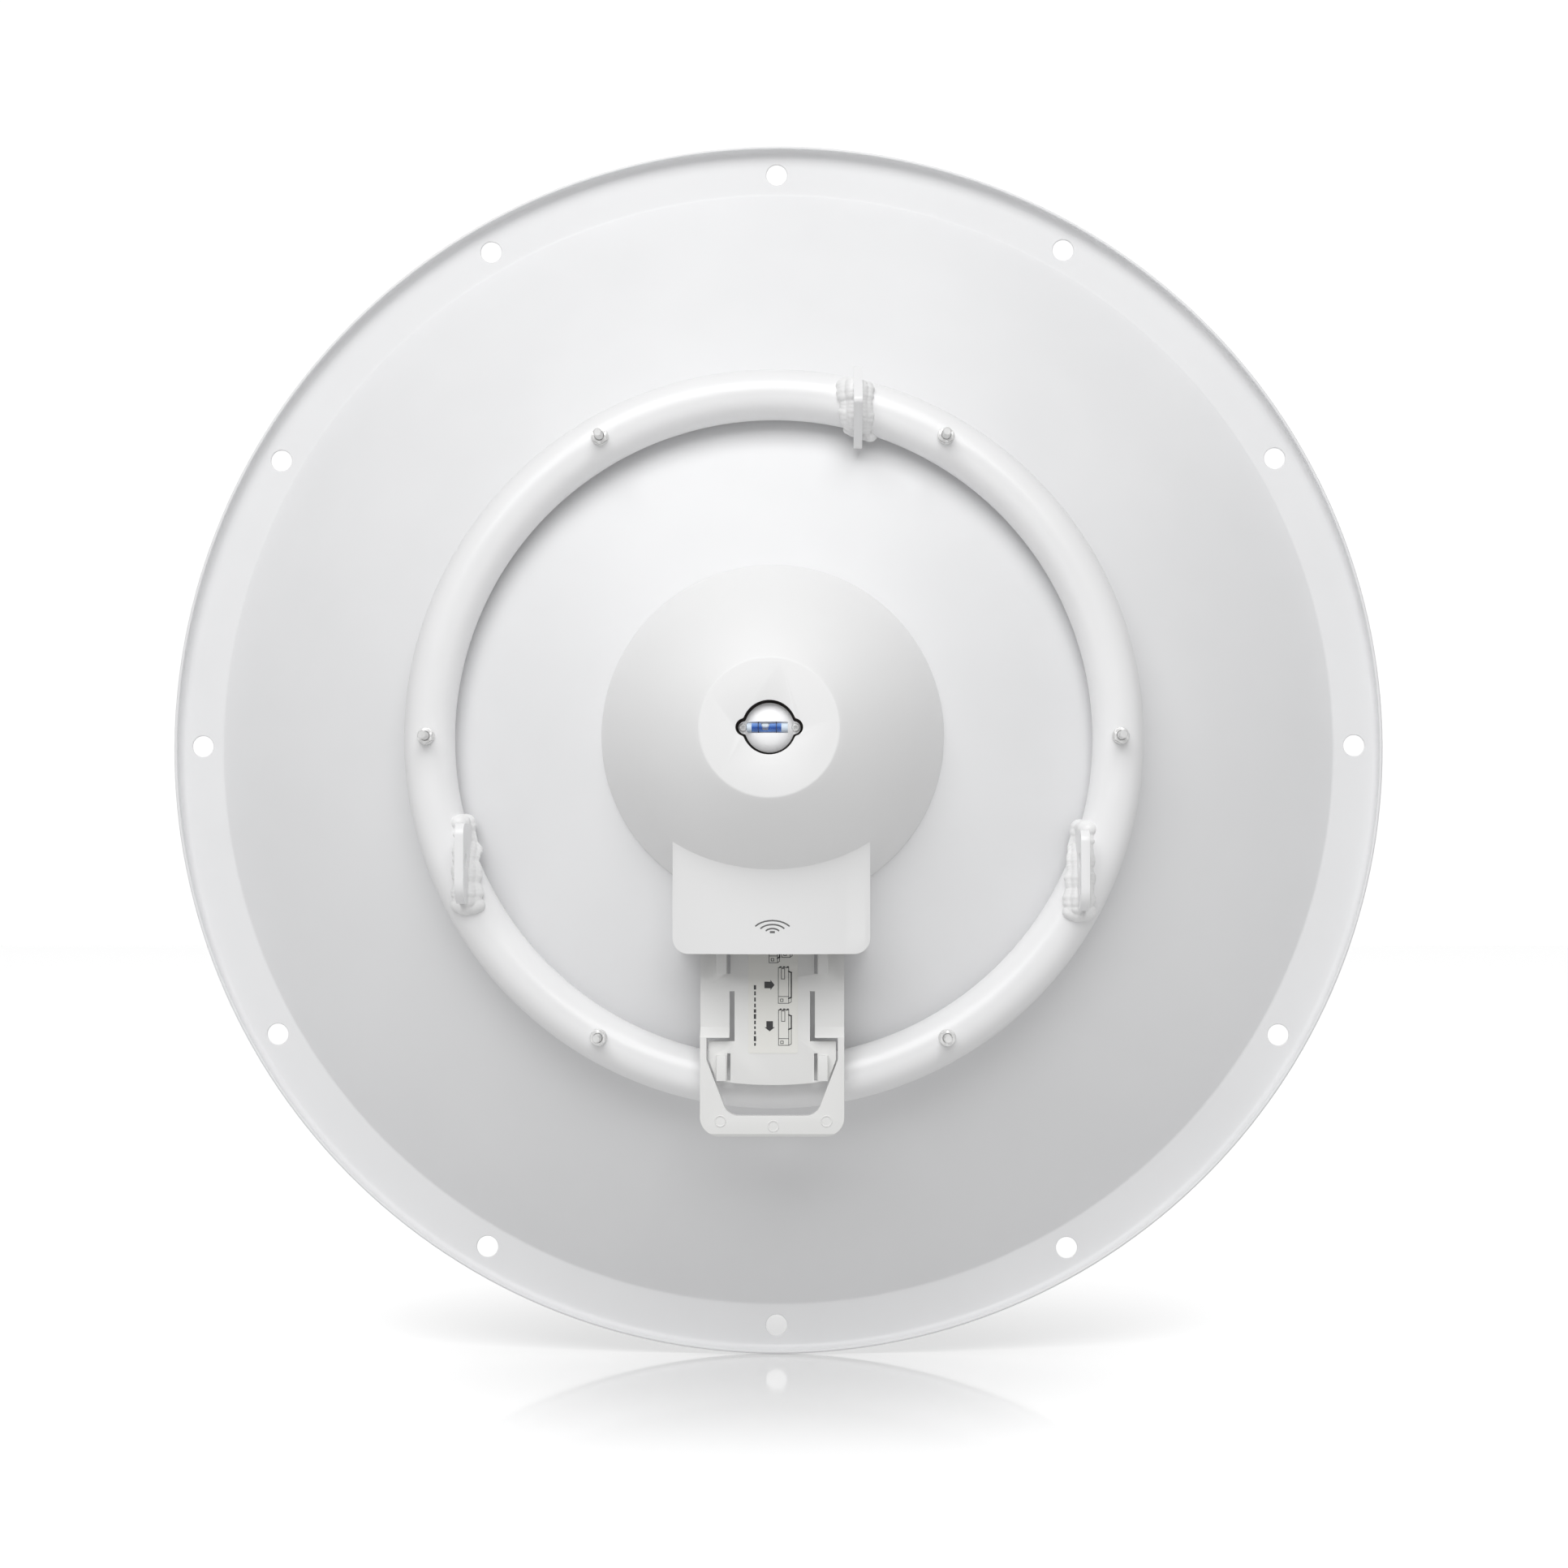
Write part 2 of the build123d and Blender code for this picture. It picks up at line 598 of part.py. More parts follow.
def cradle_fasteners():
    """Spacers cut to the dish, countersunk screws from the cradle's face, seats and nuts in front."""
    spacers, screws, seats, nuts = [], [], [], []
    under = PLATE_BACK - PLATE_THICK
    for x, z in CRADLE_SCREW_PLACES:
        spacer = rod(x, z, SPACER_RADIUS, 100, under)
        spacer -= rod(x, z, CRADLE_SCREW + HOLE_SLACK, 99, under + 1)
        spacers.append(spacer - BELOW_REAR_FACE)
        seat, front = front_seat(x, z, SPACER_RADIUS, CRADLE_SCREW + HOLE_SLACK)
        seats.append(seat)
        nut = hexagon(x, z, CRADLE_NUT_FLATS, front - 3.2, front)
        nuts.append(nut - rod(x, z, CRADLE_SCREW + THREAD_GAP, front - 4, front + 1))
        shank = rod(x, z, CRADLE_SCREW, front - 5.0, PLATE_BACK - CRADLE_SCREW)
        socket = hexagon(x, z, 2.5, PLATE_BACK - 1.4, PLATE_BACK + 1)
        screws.append(shank + screw_head(x, z, 0.0) - socket)
    return spacers, screws, seats, nuts


def cradle_label():
    """Film label down the middle of the cradle."""
    outline = Pos(*LABEL_CENTRE) * RectangleRounded(*LABEL_SIZE, 1.0)
    return slab(outline, PLATE_BACK, PLATE_BACK + LABEL_THICK)


# ---- Feed ----
FLANGE_BACK = HUB_BACK + GASKET_THICK
PORT_SEAT = HOUSING_RADIUS + 3


def feed_holes(low, high):
    """Clearance for the flange screws."""
    holes = [rod(x, z, FEED_SCREW + 0.2, low, high) for x, z in on_circle(FEED_SCREWS, FEED_SCREW_CIRCLE)]
    return Compound(children=holes)


def feed_housing():
    """Cast housing behind the hub: flange, round chamber and two port bosses."""
    flange_top = FLANGE_BACK + FLANGE_THICK
    body = spin_outline(
        (TUBE_OUTER, FLANGE_BACK),
        (FLANGE_RADIUS, FLANGE_BACK),
        (FLANGE_RADIUS, flange_top),
        (HOUSING_RADIUS, flange_top),
        (HOUSING_RADIUS, HOUSING_BACK),
        (TUBE_OUTER, HOUSING_BACK),
    )
    body = body - feed_holes(FLANGE_BACK - 1, flange_top + 1)
    for angle in PORT_ANGLES:
        body += port(angle, HOUSING_RADIUS - 2, PORT_SEAT, PORT_BOSS)
        body -= port(angle, TUBE_OUTER - 2, PORT_SEAT + 1, INSULATOR_RADIUS)
    return body - rod(0, 0, TUBE_OUTER, FLANGE_BACK - 1, HOUSING_BACK + 1)


def port(angle, inner, outer, radius):
    """A cylinder pointing straight out from the dish axis at a port, between two radii."""
    length = outer - inner
    place = Rot(0, -angle, 0) * Pos((inner + outer) / 2, -PORT_BACK, 0)
    return place * Rot(0, 90, 0) * Cylinder(radius, length)


def port_hexagon(angle, inner, outer, flats):
    """A hexagonal prism pointing straight out from the dish axis at a port."""
    prism = extrude(Plane.YZ * RegularPolygon(flats / 2, 6, major_radius=False), outer - inner)
    return Rot(0, -angle, 0) * Pos(inner, -PORT_BACK, 0) * prism


def port_parts():
    """Coaxial connectors, their insulators, and the probes that reach into the waveguide."""
    connectors, insulators, probes = [], [], []
    barrel = PORT_SEAT + CONNECTOR_BASE
    tip = PORT_SEAT + CONNECTOR_LENGTH
    filled = PORT_SEAT + INSULATOR_LENGTH
    for angle in PORT_ANGLES:
        shell = port_hexagon(angle, PORT_SEAT, barrel, CONNECTOR_FLATS)
        shell += port(angle, barrel, tip, CONNECTOR_RADIUS)
        connectors.append(shell - port(angle, PORT_SEAT - 1, tip + 1, INSULATOR_RADIUS))
        insulator = port(angle, TUBE_OUTER, filled, INSULATOR_RADIUS)
        insulators.append(insulator - port(angle, TUBE_OUTER - 1, filled + 1, PROBE_RADIUS))
        probes.append(port(angle, TUBE_OUTER - PROBE_REACH, tip - 2, PROBE_RADIUS))
    return connectors, insulators, probes


def feed_tube():
    """Round waveguide through the hub, drilled for the two probes."""
    tube = rod(0, 0, TUBE_OUTER, TUBE_FRONT, HOUSING_BACK)
    tube -= rod(0, 0, TUBE_INNER, TUBE_FRONT - 1, HOUSING_BACK + 1)
    for angle in PORT_ANGLES:
        tube -= port(angle, TUBE_INNER - 2, TUBE_OUTER + 2, INSULATOR_RADIUS)
    return tube


def feed_gasket():
    """Rubber washer between the flange and the hub."""
    low, high = HUB_BACK, FLANGE_BACK
    washer = rod(0, 0, FLANGE_RADIUS, low, high) - rod(0, 0, TUBE_OUTER + HOLE_SLACK, low - 1, high + 1)
    return washer - feed_holes(low - 1, high + 1)


def feed_fasteners():
    """Flange screws from behind and their nuts on the front of the hub."""
    screws, nuts = [], []
    front = HUB_BACK - SHEET
    head_seat = FLANGE_BACK + FLANGE_THICK
    for x, z in on_circle(FEED_SCREWS, FEED_SCREW_CIRCLE):
        nut = hexagon(x, z, FEED_NUT_FLATS, front - 4.0, front)
        nuts.append(nut - rod(x, z, FEED_SCREW + THREAD_GAP, front - 5, front + 1))
        head = rod(x, z, FEED_SCREW_HEAD, head_seat, head_seat + 4.5)
        head -= hexagon(x, z, FEED_SOCKET_FLATS, head_seat + 2, head_seat + 5)
        screws.append(head + rod(x, z, FEED_SCREW, front - 6.0, head_seat))
    return screws, nuts


def feed_back_plate():
    """Disc that shorts the waveguide's rear end and carries the level."""
    return rod(0, 0, HOUSING_RADIUS, HOUSING_BACK, HOUSING_BACK + BACK_PLATE_THICK)


def feed_cap():
    """Plastic cap flared from the waveguide's mouth to a flat front."""
    wide = SUB_RADIUS + 0.4
    neck = TUBE_OUTER + 0.2
    return spin_outline(
        (neck, TUBE_FRONT + CAP_SLEEVE),
        (neck + CAP_WALL, TUBE_FRONT + CAP_SLEEVE),
        (neck + CAP_WALL, TUBE_FRONT + 2),
        (wide + CAP_WALL, SUB_BACK + 2),
        (wide + CAP_WALL, CAP_FRONT + 2),
        (wide + CAP_WALL - 2, CAP_FRONT),
        (0, CAP_FRONT),
        (0, CAP_FRONT + CAP_WALL),
        (wide, CAP_FRONT + CAP_WALL),
        (wide, SUB_BACK + 2),
        (neck, TUBE_FRONT + 2),
    )


def sub_reflector():
    """Disc with a shallow cone that throws the wave back to the dish."""
    front = CAP_FRONT + CAP_WALL
    return spin_outline(
        (0, front),
        (SUB_RADIUS, front),
        (SUB_RADIUS, front + SUB_THICK),
        (10.0, front + SUB_THICK + 2),
        (0, SUB_BACK + 6),
    )


# ---- Bubble level ----
LEVEL_SEAT = HOUSING_BACK + BACK_PLATE_THICK


def along_x(radius, length, x=VIAL_X):
    """A cylinder along X on the vial's centreline, with its middle at x."""
    return Pos(x, -VIAL_BACK, 0) * Rot(0, 90, 0) * Cylinder(radius, length)


def level_holder():
    """Domed disc with two screw ears and a trough across it for the vial."""
    outline = level_outline(HOLDER_RADIUS, HOLDER_EDGE)
    edge = slab(outline, LEVEL_SEAT, HOLDER_BACK)
    rise = HOLDER_DOME - HOLDER_BACK
    radius = (HOLDER_RADIUS ** 2 + rise ** 2) / (2 * rise)
    ball = Pos(0, -(HOLDER_DOME - radius), 0) * Sphere(radius)
    dome = ball & rod(0, 0, HOLDER_RADIUS, HOLDER_BACK - 1, HOLDER_DOME + 1)
    holder = edge + dome - along_x(VIAL_RADIUS, VIAL_LENGTH)
    notch = Pos(VIAL_X, -(VIAL_BACK + 5), 0) * Box(VIAL_LENGTH, 10, 2 * VIAL_RADIUS)
    holder -= notch
    for side in (-1, 1):
        x = side * LEVEL_SCREW_X
        holder -= rod(x, 0, LEVEL_SCREW, LEVEL_SEAT - 1, HOLDER_DOME)
        holder -= rod(x, 0, LEVEL_SCREW_HEAD + HOLE_SLACK, HOLDER_BACK, HOLDER_DOME)
    return holder


def level_parts():
    """Vial, its two end plugs, the liquid with the channel the bubble slides in, and the bubble."""
    vial = along_x(VIAL_RADIUS, VIAL_LENGTH) - along_x(VIAL_BORE, VIAL_LENGTH + 2)
    plugs = []
    for side, plug in ((-1, LEFT_PLUG), (1, RIGHT_PLUG)):
        plugs.append(along_x(VIAL_BORE, plug, VIAL_X + side * (VIAL_LENGTH - plug) / 2))
    inner = VIAL_LENGTH - LEFT_PLUG - RIGHT_PLUG
    middle = VIAL_X + (LEFT_PLUG - RIGHT_PLUG) / 2
    run = BUBBLE_LENGTH + 2 * BUBBLE_TRAVEL + 0.4
    raised = Pos(0, 0, BUBBLE_RISE)
    channel = raised * along_x(BUBBLE_RADIUS + BUBBLE_PLAY, run, BUBBLE_X)
    liquid = along_x(VIAL_BORE, inner, middle) - channel
    bubble = raised * along_x(BUBBLE_RADIUS, BUBBLE_LENGTH, BUBBLE_X)
    bubble = fillet(bubble.edges(), BUBBLE_RADIUS - 0.1)
    return vial, plugs, liquid, bubble


def level_screws():
    """Two cross-head screws through the holder's ears."""
    screws = []
    for side in (-1, 1):
        x = side * LEVEL_SCREW_X
        head = rod(x, 0, LEVEL_SCREW_HEAD, HOLDER_BACK, HOLDER_BACK + 1.6)
        head = fillet(head.faces().sort_by(Axis.Y)[0].edges(), 0.7)
        for turn in (45, 135):
            cross = Pos(x, 0) * Rot(0, 0, turn) * Rectangle(2.4, 0.55)
            head -= slab(cross, HOLDER_BACK + 0.8, HOLDER_BACK + 3)
        screws.append(head + rod(x, 0, LEVEL_SCREW, LEVEL_SEAT, HOLDER_BACK))
    return screws


# ---- Export ----
def write(name, shape):
    """Move a shape to the pivot frame and write it; a list is a group of separate solids."""
    solids = shape if isinstance(shape, list) else [shape]
    parts = [solid for item in solids for solid in item.solids()]
    group = parts[0] if len(parts) == 1 else Compound(children=parts)
    moved = group.moved(Location((0, TAB_HOLE_BACK, -PIVOT_Z)))
    export_step(moved, f"parts/{name}.step")


os.makedirs("parts", exist_ok=True)

write("reflector", reflector())
write("back_ring", back_ring())
write("top_tab", top_tab())
write("left_tab", side_tab(-1, LEFT_TAB_TOP))
write("right_tab", side_tab(1, RIGHT_TAB_TOP))
write("top_tab_weld", weld(TOP_TAB_X, TOP_TAB_LOW + TOP_TAB_BEAD_INSET, TOP_TAB_HIGH - TOP_TAB_BEAD_INSET))
write("left_tab_weld", weld(-SIDE_TAB_X, LEFT_TAB_TOP - SIDE_TAB_LENGTH, LEFT_TAB_TOP))
write("right_tab_weld", weld(SIDE_TAB_X, RIGHT_TAB_TOP - SIDE_TAB_LENGTH, RIGHT_TAB_TOP))

ring_bolts, ring_seats, ring_washers, ring_nuts = ring_fasteners()
write("ring_bolts", ring_bolts)
write("ring_bolt_seats", ring_seats)
write("ring_washers", ring_washers)
write("ring_nuts", ring_nuts)

write("rear_shroud", rear_shroud())
screws, screw_seats = shroud_screws()
write("shroud_screws", screws)
write("shroud_screw_seats", screw_seats)

write("radio_cradle", radio_cradle())
write("cradle_latch", cradle_latch())
write("cradle_label", cradle_label())
spacers, cradle_screws, cradle_seats, cradle_nuts = cradle_fasteners()
write("cradle_spacers", spacers)
write("cradle_screws", cradle_screws)
write("cradle_seats", cradle_seats)
write("cradle_nuts", cradle_nuts)

write("feed_housing", feed_housing())
write("feed_back_plate", feed_back_plate())
write("feed_gasket", feed_gasket())
write("feed_tube", feed_tube())
feed_screws, feed_nuts = feed_fasteners()
write("feed_screws", feed_screws)
write("feed_nuts", feed_nuts)
write("feed_cap", feed_cap())
write("sub_reflector", sub_reflector())
connectors, insulators, probes = port_parts()
write("rf_connectors", connectors)
write("rf_insulators", insulators)
write("rf_probes", probes)

write("level_holder", level_holder())
vial, plugs, liquid, bubble = level_parts()
write("level_vial", vial)
write("level_plugs", plugs)
write("level_liquid", liquid)
write("level_bubble", bubble)
write("level_screws", level_screws())
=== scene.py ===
import json
import math
import random

import bmesh
import bpy
from mathutils import Matrix, Vector

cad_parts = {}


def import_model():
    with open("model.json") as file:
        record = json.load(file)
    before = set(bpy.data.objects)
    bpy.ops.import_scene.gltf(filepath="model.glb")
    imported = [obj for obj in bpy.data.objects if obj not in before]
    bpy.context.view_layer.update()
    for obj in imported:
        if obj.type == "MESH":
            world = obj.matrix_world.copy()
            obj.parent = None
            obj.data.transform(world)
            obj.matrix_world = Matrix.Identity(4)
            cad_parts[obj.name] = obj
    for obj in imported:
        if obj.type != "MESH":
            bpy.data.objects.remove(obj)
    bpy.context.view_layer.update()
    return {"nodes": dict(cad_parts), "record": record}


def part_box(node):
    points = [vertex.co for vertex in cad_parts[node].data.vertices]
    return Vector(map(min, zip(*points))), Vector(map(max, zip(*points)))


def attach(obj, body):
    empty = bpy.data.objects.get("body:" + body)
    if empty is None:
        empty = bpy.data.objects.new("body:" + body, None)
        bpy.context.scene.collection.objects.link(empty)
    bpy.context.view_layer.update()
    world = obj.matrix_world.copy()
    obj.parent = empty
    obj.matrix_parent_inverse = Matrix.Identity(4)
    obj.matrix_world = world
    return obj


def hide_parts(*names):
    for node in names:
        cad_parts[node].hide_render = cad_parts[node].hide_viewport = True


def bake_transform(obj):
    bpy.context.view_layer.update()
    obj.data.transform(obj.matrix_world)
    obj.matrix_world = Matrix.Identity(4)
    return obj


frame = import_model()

# The looks of an outdoor wireless bridge antenna, seen from behind. Everything is in metres in the
# part's own frame: X to the right seen from behind, Y forward along the beam, Z up. Places on the
# antenna are given as x, back and z: x and z from the dish axis, back behind the flange's rear face.

SHEET = 0.0018
rim_low, rim_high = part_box("reflector")
ring_low, ring_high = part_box("back_ring")
latch_low, latch_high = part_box("cradle_latch")
label_low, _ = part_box("cradle_label")
liquid_low, liquid_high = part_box("level_liquid")
vial_low, vial_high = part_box("level_vial")
bubble_low, bubble_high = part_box("level_bubble")
bolts_low, bolts_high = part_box("ring_bolts")
nuts_low, nuts_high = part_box("ring_nuts")
washers_low, washers_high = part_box("ring_washers")

RIM_RADIUS = (rim_high.x - rim_low.x) / 2
AXIS = Vector(((rim_low.x + rim_high.x) / 2, rim_high.y - SHEET, (rim_low.z + rim_high.z) / 2))


def at(x, back, z):
    """A point from its distances from the dish axis and behind the flange."""
    return Vector((AXIS.x + x, AXIS.y - back, AXIS.z + z))


def back_of(y):
    """How far behind the flange's rear face a row-frame y is."""
    return AXIS.y - y


def span_x(low, high):
    """The left and right of a box, from the dish axis."""
    return low.x - AXIS.x, high.x - AXIS.x


def span_z(low, high):
    """The foot and top of a box, from the dish axis."""
    return low.z - AXIS.z, high.z - AXIS.z


def span_back(low, high):
    """The front and rear of a box, behind the flange."""
    return back_of(high.y), back_of(low.y)


# ---- Mesh helpers ----
# Vertices nearer than these are one vertex, in a piece made here and in a CAD mesh. CAD faces that turn
# by less than the flat angle become one face, and edges sharper than the rounded angle are rounded.
SAME_POINT = 1e-7
CAD_SAME_POINT = 2e-6
FLAT_ANGLE = math.radians(0.5)
ROUNDED_ANGLE = 28.0


def make_object(name, bm, material, sharp=30.0):
    """A mesh object from a bmesh: smooth shaded, with edges sharper than an angle kept sharp."""
    bmesh.ops.recalc_face_normals(bm, faces=bm.faces)
    mesh = bpy.data.meshes.new(name)
    bm.to_mesh(mesh)
    bm.free()
    mesh.shade_smooth()
    mesh.set_sharp_from_angle(angle=math.radians(sharp))
    mesh.materials.append(material)
    obj = bpy.data.objects.new(name, mesh)
    bpy.context.scene.collection.objects.link(obj)
    return obj


def mount(obj, body, slot, *nodes):
    """The piece rides a body and stands for CAD nodes, which it hides; its slot is not used."""
    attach(obj, body)
    if nodes:
        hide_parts(*nodes)


def apply_modifiers(obj):
    """Make the object's mesh what its modifiers give."""
    graph = bpy.context.evaluated_depsgraph_get()
    mesh = bpy.data.meshes.new_from_object(obj.evaluated_get(graph))
    obj.modifiers.clear()
    obj.data = mesh


def spaced(start, end, steps):
    """Evenly spaced values from start to end, both included."""
    return [start + (end - start) * i / steps for i in range(steps + 1)]


def turns(steps):
    """The angles of a full turn's equal steps, in radians."""
    return [2 * math.pi * i / steps for i in range(steps)]


def arc(cx, cy, radius, start, end, steps):
    """Points on an arc, angles in degrees."""
    for i in range(steps + 1):
        turn = math.radians(start + (end - start) * i / steps)
        yield cx + radius * math.cos(turn), cy + radius * math.sin(turn)


def circle(cx, cy, radius, steps):
    """Points on a full circle, the first not repeated."""
    return list(arc(cx, cy, radius, 0, 360, steps))[:-1]


def join_round(bm, rings):
    """Faces between closed rings of vertices, the last joined to the first, then merge what meets."""
    for here, there in zip(rings, rings[1:] + rings[:1]):
        for j in range(len(here)):
            k = (j + 1) % len(here)
            bm.faces.new((here[j], here[k], there[k], there[j]))
    bmesh.ops.remove_doubles(bm, verts=[v for ring in rings for v in ring], dist=SAME_POINT)


def close_between(bm, lower, upper):
    """A solid's faces from two outlines of vertices: over each, and between them."""
    bm.faces.new(lower)
    bm.faces.new(upper)
    for i in range(len(lower)):
        j = (i + 1) % len(lower)
        bm.faces.new((lower[i], lower[j], upper[j], upper[i]))


def lathe(bm, centre, profile, steps, shape=None):
    """Turn a closed profile of (radius, height) about an axis that runs back from centre."""
    x0, back0, z0 = centre
    rings = []
    for turn in turns(steps):
        points = [shape(r, h, turn) if shape else (r, h) for r, h in profile]
        ring = [at(x0 + r * math.cos(turn), back0 + h, z0 + r * math.sin(turn)) for r, h in points]
        rings.append([bm.verts.new(p) for p in ring])
    join_round(bm, rings)


def prism(bm, outline, low, high):
    """A closed outline of (x, z) as a prism between two distances behind the flange."""
    lower = [bm.verts.new(at(x, low, z)) for x, z in outline]
    upper = [bm.verts.new(at(x, high, z)) for x, z in outline]
    close_between(bm, lower, upper)


def refined(name, node, material, width, segments=2, keep=None):
    """A copy of a CAD node's mesh with its coplanar faces merged and its edges rounded, except where
    keep says that an edge's middle stays sharp."""
    bm = bmesh.new()
    bm.from_mesh(frame["nodes"][node].data)
    bmesh.ops.remove_doubles(bm, verts=bm.verts, dist=CAD_SAME_POINT)
    bmesh.ops.dissolve_limit(bm, angle_limit=FLAT_ANGLE, verts=bm.verts, edges=bm.edges)
    bmesh.ops.recalc_face_normals(bm, faces=bm.faces)
    edges = []
    for e in bm.edges:
        if len(e.link_faces) != 2 or e.calc_face_angle(0.0) < math.radians(ROUNDED_ANGLE):
            continue
        if keep and keep((e.verts[0].co + e.verts[1].co) / 2):
            continue
        edges.append(e)
    bmesh.ops.bevel(
        bm, geom=edges, offset=width, offset_type="OFFSET", segments=segments,
        profile=0.5, clamp_overlap=True, affect="EDGES",
    )
    return make_object(name, bm, material, ROUNDED_ANGLE)


# ---- Shader helpers ----
# Most of a noise texture's values lie in this range.
NOISE_RANGE = (0.3, 0.7)


def feed(tree, socket, value):
    """Link an input to an output, or set it to a colour or a number."""
    if isinstance(value, bpy.types.NodeSocket):
        tree.links.new(value, socket)
    elif isinstance(value, tuple):
        socket.default_value = (*value, 1.0)
    else:
        socket.default_value = value


def map_range(tree, value, source, target=(0.0, 1.0), smooth=False):
    """Carry a value from one range to another, evenly or with soft ends."""
    node = tree.nodes.new("ShaderNodeMapRange")
    if smooth:
        node.interpolation_type = "SMOOTHSTEP"
    for key, limit in zip(("From Min", "From Max", "To Min", "To Max"), (*source, *target)):
        node.inputs[key].default_value = limit
    tree.links.new(value, node.inputs["Value"])
    return node.outputs["Result"]


def mix_colours(tree, factor, first, second):
    """A colour between two, each of the three a socket or a constant."""
    node = tree.nodes.new("ShaderNodeMix")
    node.data_type = "RGBA"
    feed(tree, node.inputs["Factor"], factor)
    feed(tree, node.inputs[6], first)
    feed(tree, node.inputs[7], second)
    return node.outputs[2]


def ramp(tree, value, stops):
    """A colour ramp over stops of (position, colour), from low to high."""
    node = tree.nodes.new("ShaderNodeValToRGB")
    elements = node.color_ramp.elements
    for position, _ in stops[1:-1]:
        elements.new(position)
    for element, (position, colour) in zip(elements, stops):
        element.position = position
        element.color = (*colour, 1.0)
    tree.links.new(value, node.inputs["Fac"])
    return node.outputs["Color"]


def coordinates(tree, kind):
    """Texture coordinates of a kind, whole and split into X, Y and Z."""
    place = tree.nodes.new("ShaderNodeTexCoord")
    split = tree.nodes.new("ShaderNodeSeparateXYZ")
    tree.links.new(place.outputs[kind], split.inputs["Vector"])
    return place.outputs[kind], split.outputs


# ---- Materials ----
# Wear starts at the first cosine between a face's normal and the normal of the same edge rounded, and
# is at its most at the second. A noise then breaks it up, down to a least share.
EDGE_COSINES = (0.985, 0.80)
MOST_WEAR = 0.55
WEAR_SCALE = 160.0
LEAST_SHARE = 0.15
# How far roughness drifts each way, and what the darker of a finish's two colours loses in any case.
ROUGHNESS_DRIFT = 0.04
DARK_STEP = 0.002
GRAIN_STRENGTH = 0.6
RIPPLE_STRENGTH = 0.5
RIPPLE_SCALE = 42.0
# How much of the liquid's colour comes from its bands of painted light and shade, the rest being its
# drifting colour.
PAINTED_BAND_SHARE = 0.95


def surface(name, colour, roughness, vary=0.015, vary_scale=9.0, grain=900.0, grain_depth=2e-5,
            wear=None, wear_width=0.0006, ripple=0.0, **constants):
    """A procedural finish: drifting colour and roughness, a fine grain, and worn edges."""
    mat = bpy.data.materials.new(name)
    mat.use_nodes = True
    tree = mat.node_tree
    nodes, links = tree.nodes, tree.links
    shader = nodes["Principled BSDF"]
    place = nodes.new("ShaderNodeTexCoord")

    def noise(scale, detail, target=None):
        node = nodes.new("ShaderNodeTexNoise")
        node.inputs["Scale"].default_value = scale
        node.inputs["Detail"].default_value = detail
        links.new(place.outputs["Object"], node.inputs["Vector"])
        if target is None:
            return node.outputs["Fac"]
        return map_range(tree, node.outputs["Fac"], NOISE_RANGE, target)

    def bump(height, strength, distance, under=None):
        node = nodes.new("ShaderNodeBump")
        node.inputs["Strength"].default_value = strength
        node.inputs["Distance"].default_value = distance
        links.new(height, node.inputs["Height"])
        if under is not None:
            links.new(under, node.inputs["Normal"])
        return node.outputs["Normal"]

    dark = tuple(max(c * (1.0 - vary) - DARK_STEP, 0.0) for c in colour)
    light = tuple(min(c * (1.0 + vary), 1.0) for c in colour)
    tint = mix_colours(tree, noise(vary_scale, 3.0, (0.0, 1.0)), dark, light)
    if wear:
        bevel = nodes.new("ShaderNodeBevel")
        bevel.samples = 4
        bevel.inputs["Radius"].default_value = wear_width
        true_normal = nodes.new("ShaderNodeNewGeometry")
        dot = nodes.new("ShaderNodeVectorMath")
        dot.operation = "DOT_PRODUCT"
        links.new(bevel.outputs["Normal"], dot.inputs[0])
        links.new(true_normal.outputs["Normal"], dot.inputs[1])
        broken = nodes.new("ShaderNodeMath")
        broken.operation = "MULTIPLY"
        links.new(map_range(tree, dot.outputs["Value"], EDGE_COSINES, (0.0, MOST_WEAR)), broken.inputs[0])
        links.new(noise(WEAR_SCALE, 4.0, (LEAST_SHARE, 1.0)), broken.inputs[1])
        tint = mix_colours(tree, broken.outputs["Value"], tint, wear)
    links.new(tint, shader.inputs["Base Color"])
    links.new(noise(vary_scale * 4.0, 4.0, (roughness - ROUGHNESS_DRIFT, roughness + ROUGHNESS_DRIFT)),
              shader.inputs["Roughness"])
    swell = bump(noise(RIPPLE_SCALE, 1.0), RIPPLE_STRENGTH, ripple) if ripple else None
    links.new(bump(noise(grain, 2.0), GRAIN_STRENGTH, grain_depth, swell), shader.inputs["Normal"])
    for key, value in constants.items():
        shader.inputs[key.replace("_", " ")].default_value = value
    return mat


def clear(name, colour, roughness, shows):
    """A clear material that shows only a share of itself, faintly streaked as moulded parts are."""
    mat = surface(name, colour, roughness, vary=0.02, vary_scale=60.0, grain=500.0, grain_depth=4e-6)
    mat.node_tree.nodes["Principled BSDF"].inputs["Alpha"].default_value = shows
    return mat


def painted_light_banded(name, bands, roughness):
    """A liquid with painted light and shade: its colour changes from the vial's foot to its top, standing
    in for light bending through it.
    """
    mat = surface(name, bands[1][1], roughness, vary=0.04, vary_scale=300.0, grain=400.0,
                  grain_depth=3e-6, Specular_IOR_Level=0.2)
    tree = mat.node_tree
    _, place = coordinates(tree, "Object")
    # The painted light and shade: a colour for each height up the vial.
    bent = ramp(tree, map_range(tree, place["Z"], (vial_low.z, vial_high.z)), bands)
    base = tree.nodes["Principled BSDF"].inputs["Base Color"]
    drifting = base.links[0].from_socket
    tree.links.new(mix_colours(tree, PAINTED_BAND_SHARE, drifting, bent), base)
    return mat


